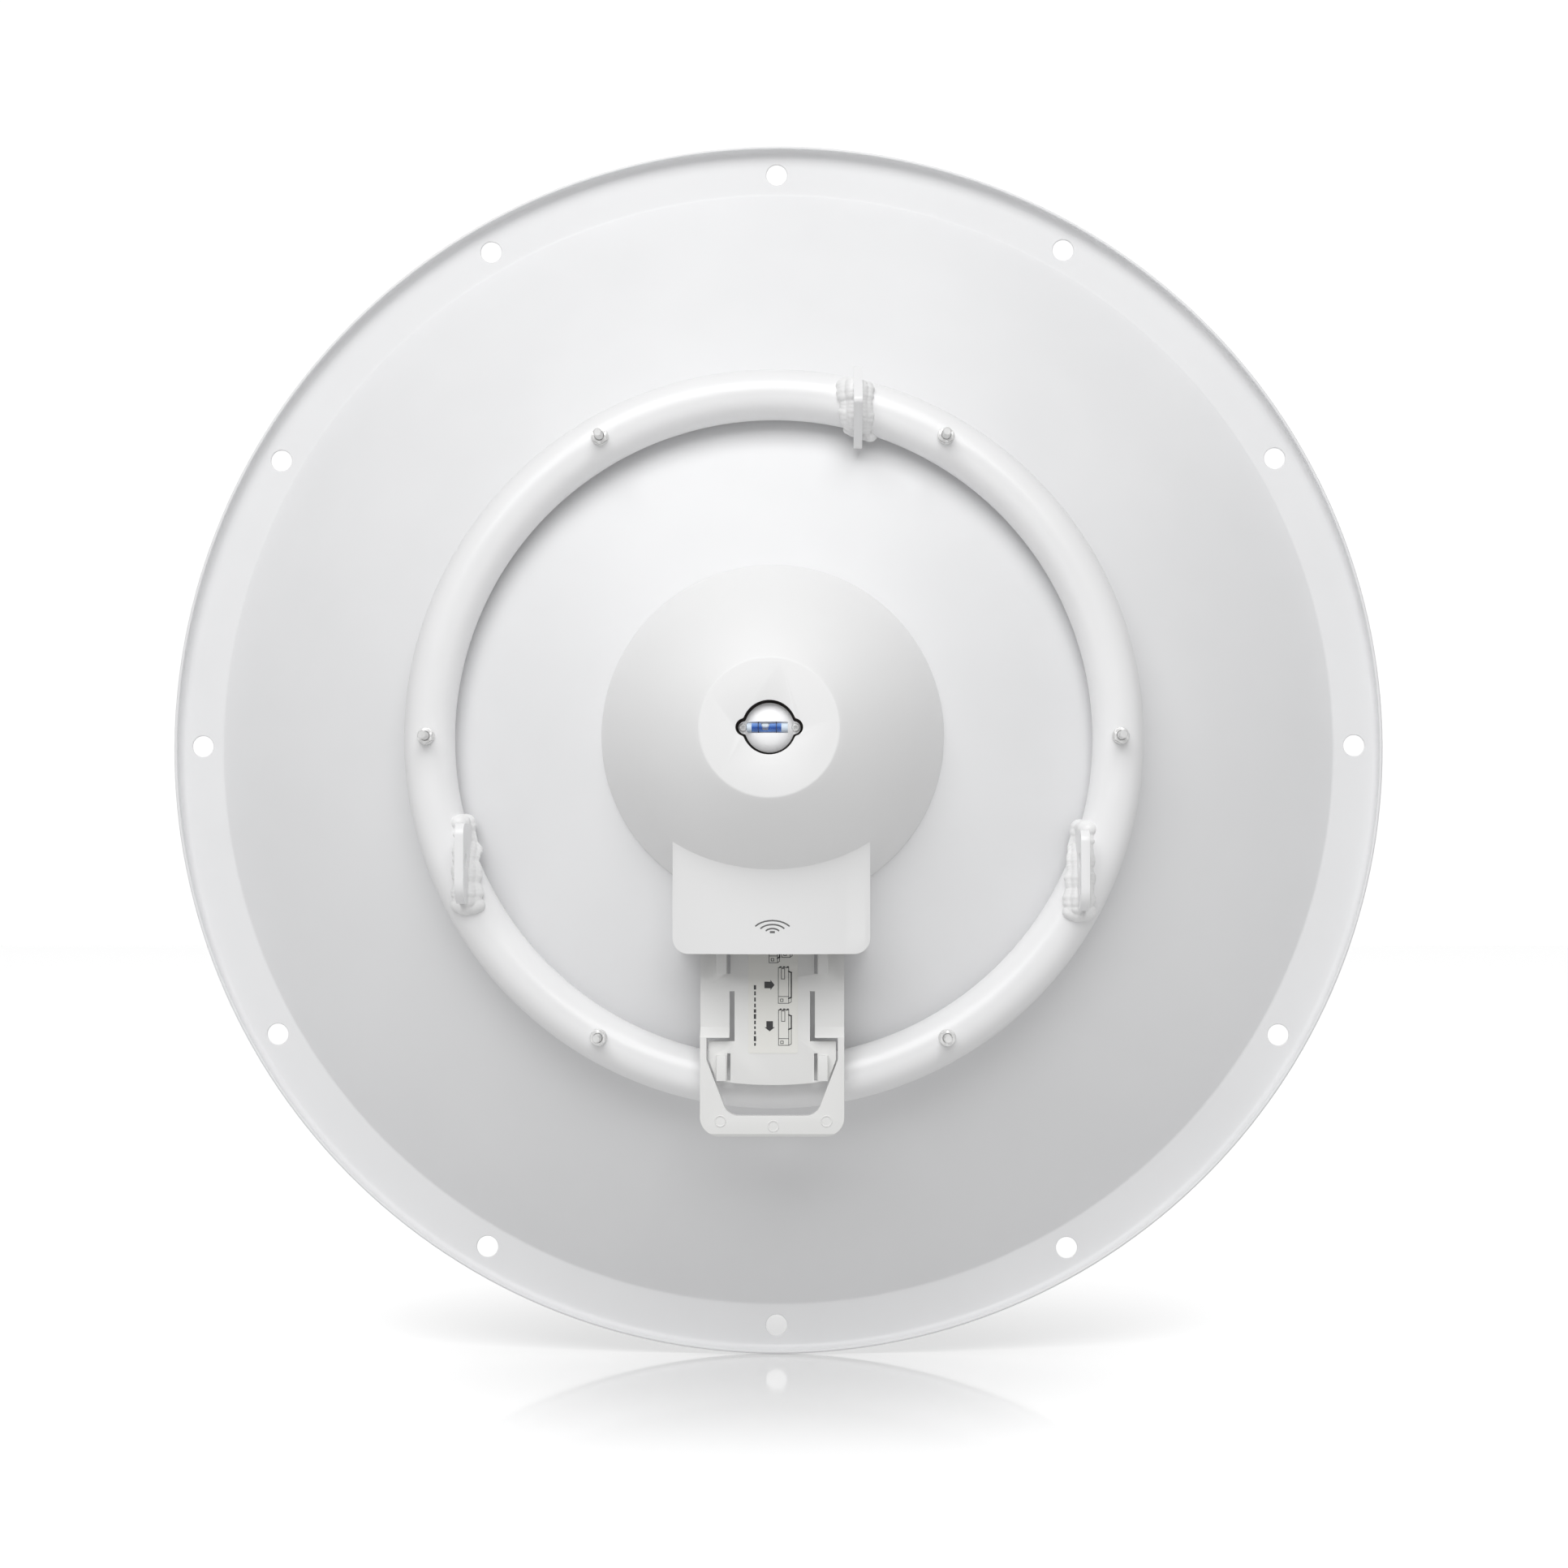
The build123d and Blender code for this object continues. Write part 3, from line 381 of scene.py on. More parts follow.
DISH_PAINT = surface("dish_powder_coat", (0.80, 0.802, 0.81), 0.42, grain=700.0, grain_depth=1.5e-5,
                     wear=(0.84, 0.84, 0.84), ripple=4e-5)
FRAME_PAINT = surface("frame_powder_coat", (0.86, 0.86, 0.865), 0.34, grain=800.0, grain_depth=2e-5,
                      wear=(0.72, 0.72, 0.71), ripple=1.0e-4, Coat_Weight=0.16, Coat_Roughness=0.12)
WELD_PAINT = surface("weld_powder_coat", (0.84, 0.84, 0.84), 0.38, vary=0.03, vary_scale=60.0,
                     grain=650.0, grain_depth=2.4e-4, wear=(0.76, 0.76, 0.75))
FASTENER = surface("fastener_zinc", (0.74, 0.74, 0.735), 0.34, vary=0.06, vary_scale=120.0,
                   grain=2600.0, grain_depth=1e-5, wear=(0.62, 0.62, 0.60), wear_width=0.0003,
                   Metallic=0.35)
RUBBER = surface("seal_rubber", (0.035, 0.035, 0.037), 0.68, vary=0.12, grain=2400.0,
                 grain_depth=3e-5, wear=(0.09, 0.09, 0.09))
SHROUD_PLASTIC = surface("shroud_plastic", (0.86, 0.86, 0.86), 0.46, vary=0.01, grain=2600.0,
                         grain_depth=1.4e-5, wear=(0.86, 0.86, 0.85))
CRADLE_PLASTIC = surface("cradle_plastic", (0.80, 0.80, 0.79), 0.40, vary=0.015, grain=2400.0,
                         grain_depth=1.4e-5, wear=(0.84, 0.84, 0.83), wear_width=0.0004)
LABEL_FILM = surface("label_film", (0.80, 0.795, 0.76), 0.50, vary=0.012, grain=3200.0,
                     grain_depth=4e-6, wear=(0.70, 0.70, 0.66), wear_width=0.0002)
PRINT_INK = surface("print_ink", (0.03, 0.03, 0.032), 0.45, vary=0.2, vary_scale=500.0, grain=4000.0,
                    grain_depth=3e-6, wear=(0.10, 0.10, 0.10), wear_width=0.0001)
GREY_INK = surface("grey_ink", (0.12, 0.12, 0.12), 0.45, vary=0.2, vary_scale=500.0, grain=4000.0,
                   grain_depth=3e-6, wear=(0.20, 0.20, 0.20), wear_width=0.0001)
MARK_INK = surface("mark_ink", (0.01, 0.02, 0.08), 0.4, vary=0.2, vary_scale=500.0, grain=4000.0,
                   grain_depth=3e-6, wear=(0.10, 0.10, 0.12), wear_width=0.0001)
# Painted shade: a near-black alloy for the feed's back plate, so that it shows as shadow through the gap
# round the level.
BACK_PLATE_SHADE = surface("cast_alloy_painted_shade", (0.078, 0.068, 0.064), 0.7, vary=0.1, grain=1400.0,
                     grain_depth=4e-5, wear=(0.12, 0.11, 0.10))
CAST_ALLOY = surface("cast_alloy", (0.55, 0.55, 0.56), 0.42, vary=0.05, vary_scale=40.0, grain=1400.0,
                     grain_depth=4e-5, wear=(0.75, 0.75, 0.76), Metallic=0.85)
BRASS = surface("connector_brass", (0.78, 0.58, 0.26), 0.28, vary=0.06, vary_scale=200.0, grain=2500.0,
                grain_depth=6e-6, wear=(0.88, 0.72, 0.40), wear_width=0.0003, Metallic=1.0)
INSULATOR = surface("insulator_plastic", (0.86, 0.86, 0.84), 0.45, grain=2500.0, grain_depth=8e-6,
                    wear=(0.80, 0.80, 0.78), wear_width=0.0002)
# The level's plastic glows a little of its own: painted light that brightens its dome and ears where the
# shroud's recess shades them.
GLOWING_LEVEL_PLASTIC = surface("level_plastic", (0.94, 0.94, 0.95), 0.30, vary=0.015, grain=2600.0,
                        grain_depth=6e-6, wear=(0.90, 0.90, 0.92), wear_width=0.0003,
                        Emission_Color=(1.0, 1.0, 1.0, 1.0), Emission_Strength=0.09)
VIAL_CLEAR = clear("vial_clear", (0.80, 0.88, 1.0), 0.12, 0.02)
PLUG_CLEAR = clear("plug_clear", (0.74, 0.84, 0.95), 0.20, 0.90)
BUBBLE_CLEAR = clear("bubble_clear", (0.88, 0.95, 1.0), 0.10, 0.90)
# Painted light and shade in the liquid, by height up the vial: lighter at the foot and top, dark across
# the lower middle.
LIQUID_PAINTED_LIGHT_BANDS = (
    (0.12, (0.15, 0.32, 0.74)),
    (0.42, (0.002, 0.055, 0.34)),
    (0.62, (0.05, 0.18, 0.56)),
    (0.84, (0.25, 0.42, 0.82)),
)
LEVEL_FLUID = painted_light_banded("level_fluid", LIQUID_PAINTED_LIGHT_BANDS, 0.30)

SLOT_FINISH = {
    "dish_paint": DISH_PAINT,
    "frame_paint": FRAME_PAINT,
    "fastener_steel": FASTENER,
    "seal_rubber": RUBBER,
    "shroud_plastic": SHROUD_PLASTIC,
    "cradle_plastic": CRADLE_PLASTIC,
    "label_film": LABEL_FILM,
    "cast_alloy": CAST_ALLOY,
    "connector_brass": BRASS,
    "insulator_plastic": INSULATOR,
    "level_plastic": GLOWING_LEVEL_PLASTIC,
    "vial_clear": VIAL_CLEAR,
    "level_fluid": LEVEL_FLUID,
    "bubble_clear": BUBBLE_CLEAR,
}
for part in frame["record"]["subparts"]:
    mesh = frame["nodes"][part["node"]].data
    mesh.materials.clear()
    mesh.materials.append(SLOT_FINISH[part["material_slot"]])
# The back plate takes the painted shade, to darken the gap round the level.
frame["nodes"]["feed_back_plate"].data.materials[0] = BACK_PLATE_SHADE
frame["nodes"]["level_plugs"].data.materials[0] = PLUG_CLEAR


# ---- Reflector ----
DISH_DEPTH = 0.132
FLANGE_INNER = 0.344
HUB_RADIUS = 0.045
HUB_HOLE = 0.0226
HUB_BEND = 0.004
FLANGE_BEND = 0.003
LIP_BEND = 0.004
LIP_HEIGHT = 0.008
LIP_TILT = math.radians(14)
HUB_STEPS, HUB_BEND_STEPS, BOWL_STEPS, FLANGE_STEPS = 6, 5, 48, 8
DISH_STEPS = 240
HOLE_STEPS = 32
DISH_SHARP = 40.0
RIM_HOLES = [m for m in frame["record"]["mounts"] if m["name"] == "rim_holes"][0]["dims"]
# The rim holes' eased edges: how much wider they are past a face, and how deep the easing goes.
HOLE_FLARE, PAST_FACE = 0.0005, 0.0001
HOLE_EDGE = 0.0004
DRILL_REACH = 0.004


def dish_back(r):
    """How far the dish's rear surface is behind the flange at radius r."""
    r = max(r, HUB_RADIUS)
    return DISH_DEPTH * (1.0 - (r / FLANGE_INNER) ** 2)


def rear_line():
    """The rear surface's section from the hub hole out to the lip's edge, as (radius, back)."""
    hub_back = dish_back(0.0)
    hub_edge, start = HUB_RADIUS - HUB_BEND, HUB_RADIUS + HUB_BEND
    points = [(r, hub_back) for r in spaced(HUB_HOLE, hub_edge, HUB_STEPS)]
    for i in range(1, HUB_BEND_STEPS):
        t = i / HUB_BEND_STEPS
        points.append((hub_edge + 2 * HUB_BEND * t, hub_back - (hub_back - dish_back(start)) * t * t))
    slope = 2 * DISH_DEPTH / FLANGE_INNER
    turn = math.atan(slope)
    cut = FLANGE_BEND * math.tan(turn / 2)
    end = FLANGE_INNER - cut * math.cos(turn)
    points += [(r, dish_back(r)) for r in spaced(start, end, BOWL_STEPS)]
    flat_start, flat_end = FLANGE_INNER + cut, RIM_RADIUS - SHEET - LIP_BEND
    points += list(arc(flat_start, FLANGE_BEND, FLANGE_BEND, 270 - math.degrees(turn), 270, 6))[1:]
    points += [(r, 0.0) for r in spaced(flat_start, flat_end, FLANGE_STEPS)[1:-1]]
    points += list(arc(flat_end, LIP_BEND, LIP_BEND, 270, 360 + math.degrees(LIP_TILT), 8))
    r, h = points[-1]
    run = LIP_HEIGHT - SHEET / 2 - h
    points.append((r - run * math.tan(LIP_TILT), h + run))
    return points


def sheet_section(line, thickness):
    """A closed section: a line and its parallel on the front side, with a round free edge."""
    far = []
    for i, (r, h) in enumerate(line):
        r0, h0 = line[max(i - 1, 0)]
        r1, h1 = line[min(i + 1, len(line) - 1)]
        length = math.hypot(r1 - r0, h1 - h0)
        far.append((r + (h1 - h0) / length * thickness, h - (r1 - r0) / length * thickness))
    (r, h), (r1, h1) = line[-1], far[-1]
    facing = math.degrees(math.atan2(h - h1, r - r1))
    edge = list(arc((r + r1) / 2, (h + h1) / 2, thickness / 2, facing, facing - 180, 6))[1:-1]
    return line + edge + far[::-1]


def rim_drills():
    """A cutter for the flange's holes, flared at both faces so that the holes' edges are eased."""
    drills = bmesh.new()
    pitch = RIM_HOLES["pcd_mm"] / 2000
    radius = RIM_HOLES["hole_r_mm"] / 1000
    flare = radius + HOLE_FLARE
    profile = [(0, -DRILL_REACH), (flare, -DRILL_REACH), (flare, -SHEET - PAST_FACE),
               (radius, -SHEET + HOLE_EDGE), (radius, -HOLE_EDGE), (flare, PAST_FACE),
               (flare, DRILL_REACH), (0, DRILL_REACH)]
    for turn in turns(RIM_HOLES["count"]):
        lathe(drills, (pitch * math.cos(turn), 0, pitch * math.sin(turn)), profile, HOLE_STEPS)
    return make_object("rim_drills", drills, DISH_PAINT)


def reflector():
    """The pressed dish with its plain holes."""
    bm = bmesh.new()
    lathe(bm, (0, 0, 0), sheet_section(rear_line(), SHEET), DISH_STEPS)
    dish = make_object("dish_reflector", bm, DISH_PAINT, DISH_SHARP)
    cutter = rim_drills()
    cut = dish.modifiers.new("holes", "BOOLEAN")
    cut.operation = "DIFFERENCE"
    cut.solver = "EXACT"
    cut.object = cutter
    apply_modifiers(dish)
    bpy.data.objects.remove(cutter)
    dish.data.shade_smooth()
    dish.data.set_sharp_from_angle(angle=math.radians(DISH_SHARP))
    mount(dish, "antenna", "dish_paint", "reflector")


# ---- Ring ----
TUBE_RADIUS = (ring_high.y - ring_low.y) / 2
RING_RADIUS = (ring_high.x - ring_low.x) / 2 - TUBE_RADIUS
RING_BACK = back_of((ring_low.y + ring_high.y) / 2)
# The tube is this much thinner than the CAD's, so that its waviness stays inside the CAD's box.
TUBE_INSET = 0.0001
TUBE_STEPS = 48
RING_STEPS = 256
# The tube's waviness: how much its section changes, and how often in a full turn.
BEND_WAVE, BENDS, BEND_PHASE = 0.003, 3, 0.6
ROLL_WAVE, ROLLS = 0.002, 7


def ring():
    """The bent tube: very slightly out of true, as a rolled tube is."""
    def rolled(r, h, turn):
        wave = 1.0 + BEND_WAVE * math.sin(BENDS * turn + BEND_PHASE) + ROLL_WAVE * math.sin(ROLLS * turn)
        return RING_RADIUS + (r - RING_RADIUS) * wave, h / wave

    bm = bmesh.new()
    section = circle(RING_RADIUS, 0.0, TUBE_RADIUS - TUBE_INSET, TUBE_STEPS)
    lathe(bm, (0, RING_BACK, 0), section, RING_STEPS, rolled)
    mount(make_object("ring_tube", bm, FRAME_PAINT), "antenna", "frame_paint", "back_ring")


def tube_surface(x, z):
    """The point on the tube's rear side at x, z, or on its flank where x, z is beside it."""
    rho = math.hypot(x, z)
    offset = max(-TUBE_RADIUS, min(TUBE_RADIUS, rho - RING_RADIUS))
    scale = (RING_RADIUS + offset) / rho
    return x * scale, RING_BACK + math.sqrt(TUBE_RADIUS ** 2 - offset ** 2), z * scale


# ---- Tabs and welds ----
TAB_EDGE = 0.0007
# Each step along a bead has a low drop on the tube and a smaller high drop against the plate. A shape
# stretches a drop along x, back and z. Reaches and rises are shares of the drop's size.
LOW_SHAPE, LOW_REACH, LOW_RISE = (1.0, 0.80, 0.62), (0.22, 0.34), 0.08
HIGH_SHAPE, HIGH_REACH, HIGH_RISE, HIGH_SIZE = (0.8, 1.0, 0.75), 0.10, 0.55, 0.72
SWELL, SWELL_STEP, SWELL_DRIFT = 0.10, 0.8, 2.0
# The drops of a blob at a tab's end stand on a curve round it.
END_DROPS = 7
END_SHAPE, END_REACH, END_CURVE = (0.95, 0.95, 0.85), 0.45, 0.30
END_VARY = (0.9, 1.08)
# The drops' size at each bead's top and foot. A side tab's inner bead faces the dish axis.
SIDE_INNER_BEAD, SIDE_OUTER_BEAD = (0.0034, 0.0062), (0.0042, 0.0040)
TOP_LEFT_BEAD, TOP_RIGHT_BEAD = (0.0082, 0.0044), (0.0050, 0.0048)
SIDE_SPACING, TOP_SPACING = 0.0016, 0.0021
BEAD_SETBACK, FOOT_SETBACK, TOP_TAB_SETBACK = 0.001, 0.002, 0.012
# Each blob's drop size, and how far it spreads to each side.
SIDE_FOOT_BLOB, SIDE_HEAD_BLOB, TOP_FOOT_BLOB = (0.0050, 0.0055), (0.0054, 0.0046), (0.0046, 0.005)
FOOT_BLOB_SHIFT = 0.0012
WELD_VOXEL = 0.00038
WELD_SMOOTHING = 3


def weld(name, node, drops):
    """A bead of overlapping drops, melted together, on the tube at a tab's foot."""
    bm = bmesh.new()
    for x, back, z, size, stretch in drops:
        made = bmesh.ops.create_icosphere(bm, subdivisions=3, radius=1.0)
        place = Matrix.Translation(at(x, back, z)) @ Matrix.Diagonal((*(size * s for s in stretch), 1.0))
        bmesh.ops.transform(bm, matrix=place, verts=made["verts"])
    bead = make_object(name, bm, WELD_PAINT)
    melt = bead.modifiers.new("melt", "REMESH")
    melt.mode = "VOXEL"
    melt.voxel_size = WELD_VOXEL
    soft = bead.modifiers.new("soft", "SMOOTH")
    soft.factor = 0.5
    soft.iterations = WELD_SMOOTHING
    apply_modifiers(bead)
    bead.data.shade_smooth()
    mount(bead, "antenna", "frame_paint", node)


def bead_drops(rng, x, z0, z1, side, sizes, spacing):
    """Drops along one side of a tab from z0 to z1, side -1 to its left and 1 to its right."""
    drops = []
    count = int(abs(z1 - z0) / spacing)
    for i in range(count + 1):
        t = i / count
        swell = 1.0 + SWELL * math.sin(SWELL_STEP * i + SWELL_DRIFT * t)
        swell += rng.uniform(-SWELL / 2, SWELL / 2)
        size = (sizes[0] + (sizes[1] - sizes[0]) * t) * swell
        z = z0 + (z1 - z0) * t
        px, back, pz = tube_surface(x + side * size * rng.uniform(*LOW_REACH), z)
        drops.append((px, back + size * LOW_RISE, pz, size, LOW_SHAPE))
        px, back, pz = tube_surface(x + side * size * HIGH_REACH, z)
        drops.append((px, back + size * HIGH_RISE, pz, size * HIGH_SIZE, HIGH_SHAPE))
    return drops


def end_drops(rng, x, z, direction, size, spread):
    """A blob that wraps a tab's end, spread to each side of x."""
    drops = []
    for i in range(END_DROPS):
        across = (2 * i - (END_DROPS - 1)) / (END_DROPS - 1)
        reach = direction * size * (END_REACH - END_CURVE * across ** 2)
        px, back, pz = tube_surface(x + across * spread, z + reach)
        drops.append((px, back, pz, size * rng.uniform(*END_VARY), END_SHAPE))
    return drops


def side_tab_weld(rng, node, mirror):
    """A side tab's beads, which wrap both its ends. mirror is -1 for the left tab, 1 for the right."""
    low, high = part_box(node)
    left, right = span_x(low, high)
    foot, top = span_z(low, high)
    middle = (left + right) / 2
    inner, outer = (right, left) if mirror < 0 else (left, right)
    head = top - BEAD_SETBACK
    drops = bead_drops(rng, inner, head, foot + BEAD_SETBACK, -mirror, SIDE_INNER_BEAD, SIDE_SPACING)
    drops += bead_drops(rng, outer, head, foot + FOOT_SETBACK, mirror, SIDE_OUTER_BEAD, SIDE_SPACING)
    drops += end_drops(rng, middle - mirror * FOOT_BLOB_SHIFT, foot, -1, *SIDE_FOOT_BLOB)
    drops += end_drops(rng, middle, top, 1, *SIDE_HEAD_BLOB)
    weld(node + "_bead", node + "_weld", drops)


def top_tab_weld(rng):
    """The top tab's beads, widest at the top on its left, joined round its foot."""
    low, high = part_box("top_tab")
    left, right = span_x(low, high)
    foot, top = span_z(low, high)
    head, tail = top - TOP_TAB_SETBACK, foot + FOOT_SETBACK
    drops = bead_drops(rng, left, head, tail, -1, TOP_LEFT_BEAD, TOP_SPACING)
    drops += bead_drops(rng, right, head, tail, 1, TOP_RIGHT_BEAD, TOP_SPACING)
    drops += end_drops(rng, (left + right) / 2, tail, -1, *TOP_FOOT_BLOB)
    weld("top_tab_bead", "top_tab_weld", drops)


def tabs_and_welds():
    """Three tabs with softened edges, and the beads at their feet."""
    rng = random.Random(11)
    for node in ("top_tab", "left_tab", "right_tab"):
        tab = refined(node + "_plate", node, FRAME_PAINT, TAB_EDGE)
        mount(tab, "antenna", "frame_paint", node)
    side_tab_weld(rng, "left_tab", -1)
    side_tab_weld(rng, "right_tab", 1)
    top_tab_weld(rng)


# ---- Ring fasteners ----
BOLTS = 6
BOLT_RADIUS = 0.0025
HEAD_HEIGHT = 0.0035
HEAD_SINK = 0.0005
TIP_CHAMFER = 0.0006
THREAD_PITCH = 0.0008
THREAD_DEPTH = 0.00035
THREAD_PAST_NUT = 0.004
THREAD_SAMPLES = 6
NUT_FLATS = 0.008
HEX_CORNER = NUT_FLATS / 2 * 0.97
HEX_CHAMFER = 0.58
NUT_CHAMFER = 0.0004
NUT_BORE = BOLT_RADIUS + 0.0001
WASHER_BORE = NUT_BORE + 0.0002
SHANK_STEPS, HEX_STEPS, WASHER_STEPS = 24, 48, 36


def bolt_places():
    """(x, z) of the ring bolts."""
    for turn in turns(BOLTS):
        yield RING_RADIUS * math.cos(turn), RING_RADIUS * math.sin(turn)


def hex_shape(length, both_ends=False):
    """Makes a round profile hexagonal, with its corners chamfered at the far end or at both ends."""
    def shape(r, h, turn):
        if r < HEX_CORNER:
            return r, h
        flat = (turn + math.pi / 6) % (math.pi / 3) - math.pi / 6
        wide = NUT_FLATS / 2 / math.cos(flat)
        drop = max(0.0, wide - HEX_CORNER) * HEX_CHAMFER
        if h > length / 2:
            return wide, h - drop
        return wide, (h + drop if both_ends else h)
    return shape


def threaded_shape(start, end):
    """Winds a thread into the part of a rod between two heights."""
    def shape(r, h, turn):
        if r < BOLT_RADIUS * 0.9 or h <= start or h >= end:
            return r, h
        phase = ((h - start) / THREAD_PITCH - turn / (2 * math.pi)) % 1.0
        return r - THREAD_DEPTH * abs(2 * phase - 1), h
    return shape


def ring_fasteners():
    """Bolts with their threads, nuts and washers."""
    head_low, tip = span_back(bolts_low, bolts_high)
    nut_low, nut_high = span_back(nuts_low, nuts_high)
    washer_low, washer_high = span_back(washers_low, washers_high)
    bolts, nuts, washers = bmesh.new(), bmesh.new(), bmesh.new()

    length = tip - head_low
    thread_from = length - (tip - nut_low) - THREAD_PAST_NUT
    thread_to = length - TIP_CHAMFER
    samples = int((length - thread_from) / THREAD_PITCH * THREAD_SAMPLES)
    shank = [(0, HEAD_HEIGHT - HEAD_SINK), (BOLT_RADIUS, HEAD_HEIGHT - HEAD_SINK)]
    shank += [(BOLT_RADIUS, h) for h in spaced(thread_from, thread_to, samples)]
    shank += [(BOLT_RADIUS - TIP_CHAMFER, length), (0, length)]
    head = [(0, 0), (HEX_CORNER, 0), (NUT_FLATS / 2, 0), (NUT_FLATS / 2, HEAD_HEIGHT), (0, HEAD_HEIGHT)]

    height = nut_high - nut_low
    nut = [(NUT_BORE, NUT_CHAMFER), (NUT_BORE + NUT_CHAMFER, 0), (HEX_CORNER, 0), (NUT_FLATS / 2, 0),
           (NUT_FLATS / 2, height), (HEX_CORNER, height), (NUT_BORE + NUT_CHAMFER, height),
           (NUT_BORE, height - NUT_CHAMFER)]

    washer_radius = (washers_high.x - washers_low.x) / 2 - RING_RADIUS
    half = (washer_high - washer_low) / 2
    round_edge = arc(washer_radius - half, half, half, -90, 90, 6)
    washer = [(WASHER_BORE, 0), *round_edge, (WASHER_BORE, 2 * half)]

    for x, z in bolt_places():
        lathe(bolts, (x, head_low, z), shank, SHANK_STEPS, threaded_shape(thread_from, thread_to))
        lathe(bolts, (x, head_low, z), head, HEX_STEPS, hex_shape(HEAD_HEIGHT))
        lathe(nuts, (x, nut_low, z), nut, HEX_STEPS, hex_shape(height, both_ends=True))
        lathe(washers, (x, washer_low, z), washer, WASHER_STEPS)
    mount(make_object("ring_bolt_set", bolts, FASTENER), "antenna", "fastener_steel", "ring_bolts")
    mount(make_object("ring_nut_set", nuts, FASTENER), "antenna", "fastener_steel", "ring_nuts")
    mount(make_object("ring_washer_set", washers, FASTENER), "antenna", "fastener_steel", "ring_washers")


# ---- Shroud ----
SHROUD_EDGE = 0.0005
# The radius of the cover's crown, about an upright line through the middle of the flange.
COVER_CROWN = 0.165
# A print stands this far out of its face, and goes as far into it.
PRINT_RISE = 0.00007
# The mark's arcs run between two angles round its foot and are flattened, with a dot at the foot.
MARK_X, MARK_FOOT = 0.0008, -0.1132
MARK_REACHES = (0.0042, 0.0078, 0.0114)
MARK_FROM, MARK_TO = 35, 145
MARK_FLATTEN = 0.62
MARK_LINE = 0.0008
MARK_DOT_REACH, MARK_DOT_RISE, MARK_DOT_LINE = 0.0008, 0.0006, 0.0012


def cover_back(x, z):
    """How far back the cover's face is at x, z: it is crowned from side to side only."""
    return math.sqrt(COVER_CROWN ** 2 - x * x)


def stroke(bm, points, width, face):
    """A printed line along (x, z) points on a face, which gives its distance back at x, z."""
    for (x0, z0), (x1, z1) in zip(points, points[1:]):
        length = math.hypot(x1 - x0, z1 - z0)
        ax, az = (x1 - x0) / length * width / 2, (z1 - z0) / length * width / 2
        corners = ((x0 - ax + az, z0 - az - ax), (x1 + ax + az, z1 + az - ax),
                   (x1 + ax - az, z1 + az + ax), (x0 - ax - az, z0 - az + ax))
        lower = [bm.verts.new(at(x, face(x, z) - PRINT_RISE, z)) for x, z in corners]
        upper = [bm.verts.new(at(x, face(x, z) + PRINT_RISE, z)) for x, z in corners]
        close_between(bm, lower, upper)


def cover_mark():
    """A plain radio-wave mark printed low on the cover."""
    bm = bmesh.new()
    for reach in MARK_REACHES:
        wave = [(MARK_X + reach * math.cos(t), MARK_FOOT + MARK_FLATTEN * reach * math.sin(t))
                for t in map(math.radians, spaced(MARK_FROM, MARK_TO, 10))]
        stroke(bm, wave, MARK_LINE, cover_back)
    dot_z = MARK_FOOT + MARK_DOT_RISE
    stroke(bm, [(MARK_X - MARK_DOT_REACH, dot_z), (MARK_X + MARK_DOT_REACH, dot_z)], MARK_DOT_LINE,
           cover_back)
    mount(make_object("cover_mark", bm, GREY_INK), "antenna", "shroud_plastic")


def shroud():
    """The moulded shell with its edges softened, and its printed mark."""
    shell = refined("shroud_shell", "rear_shroud", SHROUD_PLASTIC, SHROUD_EDGE)
    mount(shell, "antenna", "shroud_plastic", "rear_shroud")
    cover_mark()


# ---- Label ----
LABEL_BACK = back_of(label_low.y)
FILM_EDGE = 0.00005
DRAWN_LINE = 0.00034
RAIL_LINE = DRAWN_LINE * 2.2
CLIP_LINE = DRAWN_LINE * 1.6
# A drawing's parts: shares of its width or height, or distances from its top left corner.
BODY_SHARE = 0.8
SEAM_SHARE = 0.81
PORT_TOP_SHARE, PORT_FOOT_SHARE = 0.88, 0.95
PORT_LEFT, PORT_RIGHT = 0.0012, 0.0027
WINDOW_INSET, WINDOW_DROP, WINDOW_RIGHT, WINDOW_FOOT = 0.0017, 0.0006, 0.0036, 0.0065
RAIL_SLANT = 0.0006
FOOT_SLANT = 0.0008
CLIP_SHARES = (0.1, 0.45, 0.8)
CLIP_RUN, CLIP_RISE, CLIP_REACH = 0.0004, 0.0005, 0.0010
# Each drawing's left, top, width and height, and how far below its top its rail starts and ends.
DRAWINGS = (
    (0.0035, -0.1335, 0.0074, 0.0204, 0.0022, 0.0170),
    (0.0036, -0.1577, 0.0073, 0.0202, 0.0028, 0.0105),
    (-0.0018, -0.1105, 0.0060, 0.0202, 0.0022, 0.0170),
    (0.0054, -0.1074, 0.0060, 0.0202, 0.0022, 0.0170),
)
# Each arrow's x, z and turn in degrees: the first points right, the second down.
ARROWS = ((-0.0016, -0.1434, 0), (-0.0015, -0.1670, -90))
ARROW_REACH, ARROW_STEM, ARROW_NECK = 0.0029, 0.0019, 0.0006
ARROW_SINK = 0.00005
# The column of bars that stands for small print.
BARS_X, BARS_TOP, BARS_FOOT = -0.0099, -0.1442, -0.1776
BAR_LENGTHS = (0.0006, 0.0016)
BAR_WIDTHS = (0.0009, 0.0013)
BAR_GAP = 0.0021


def label_face(x, z):
    """The label is flat."""
    return LABEL_BACK


def box_outline(left, top, right, low):
    """The corners of an upright box, back to the first."""
    return [(left, top), (right, top), (right, low), (left, low), (left, top)]


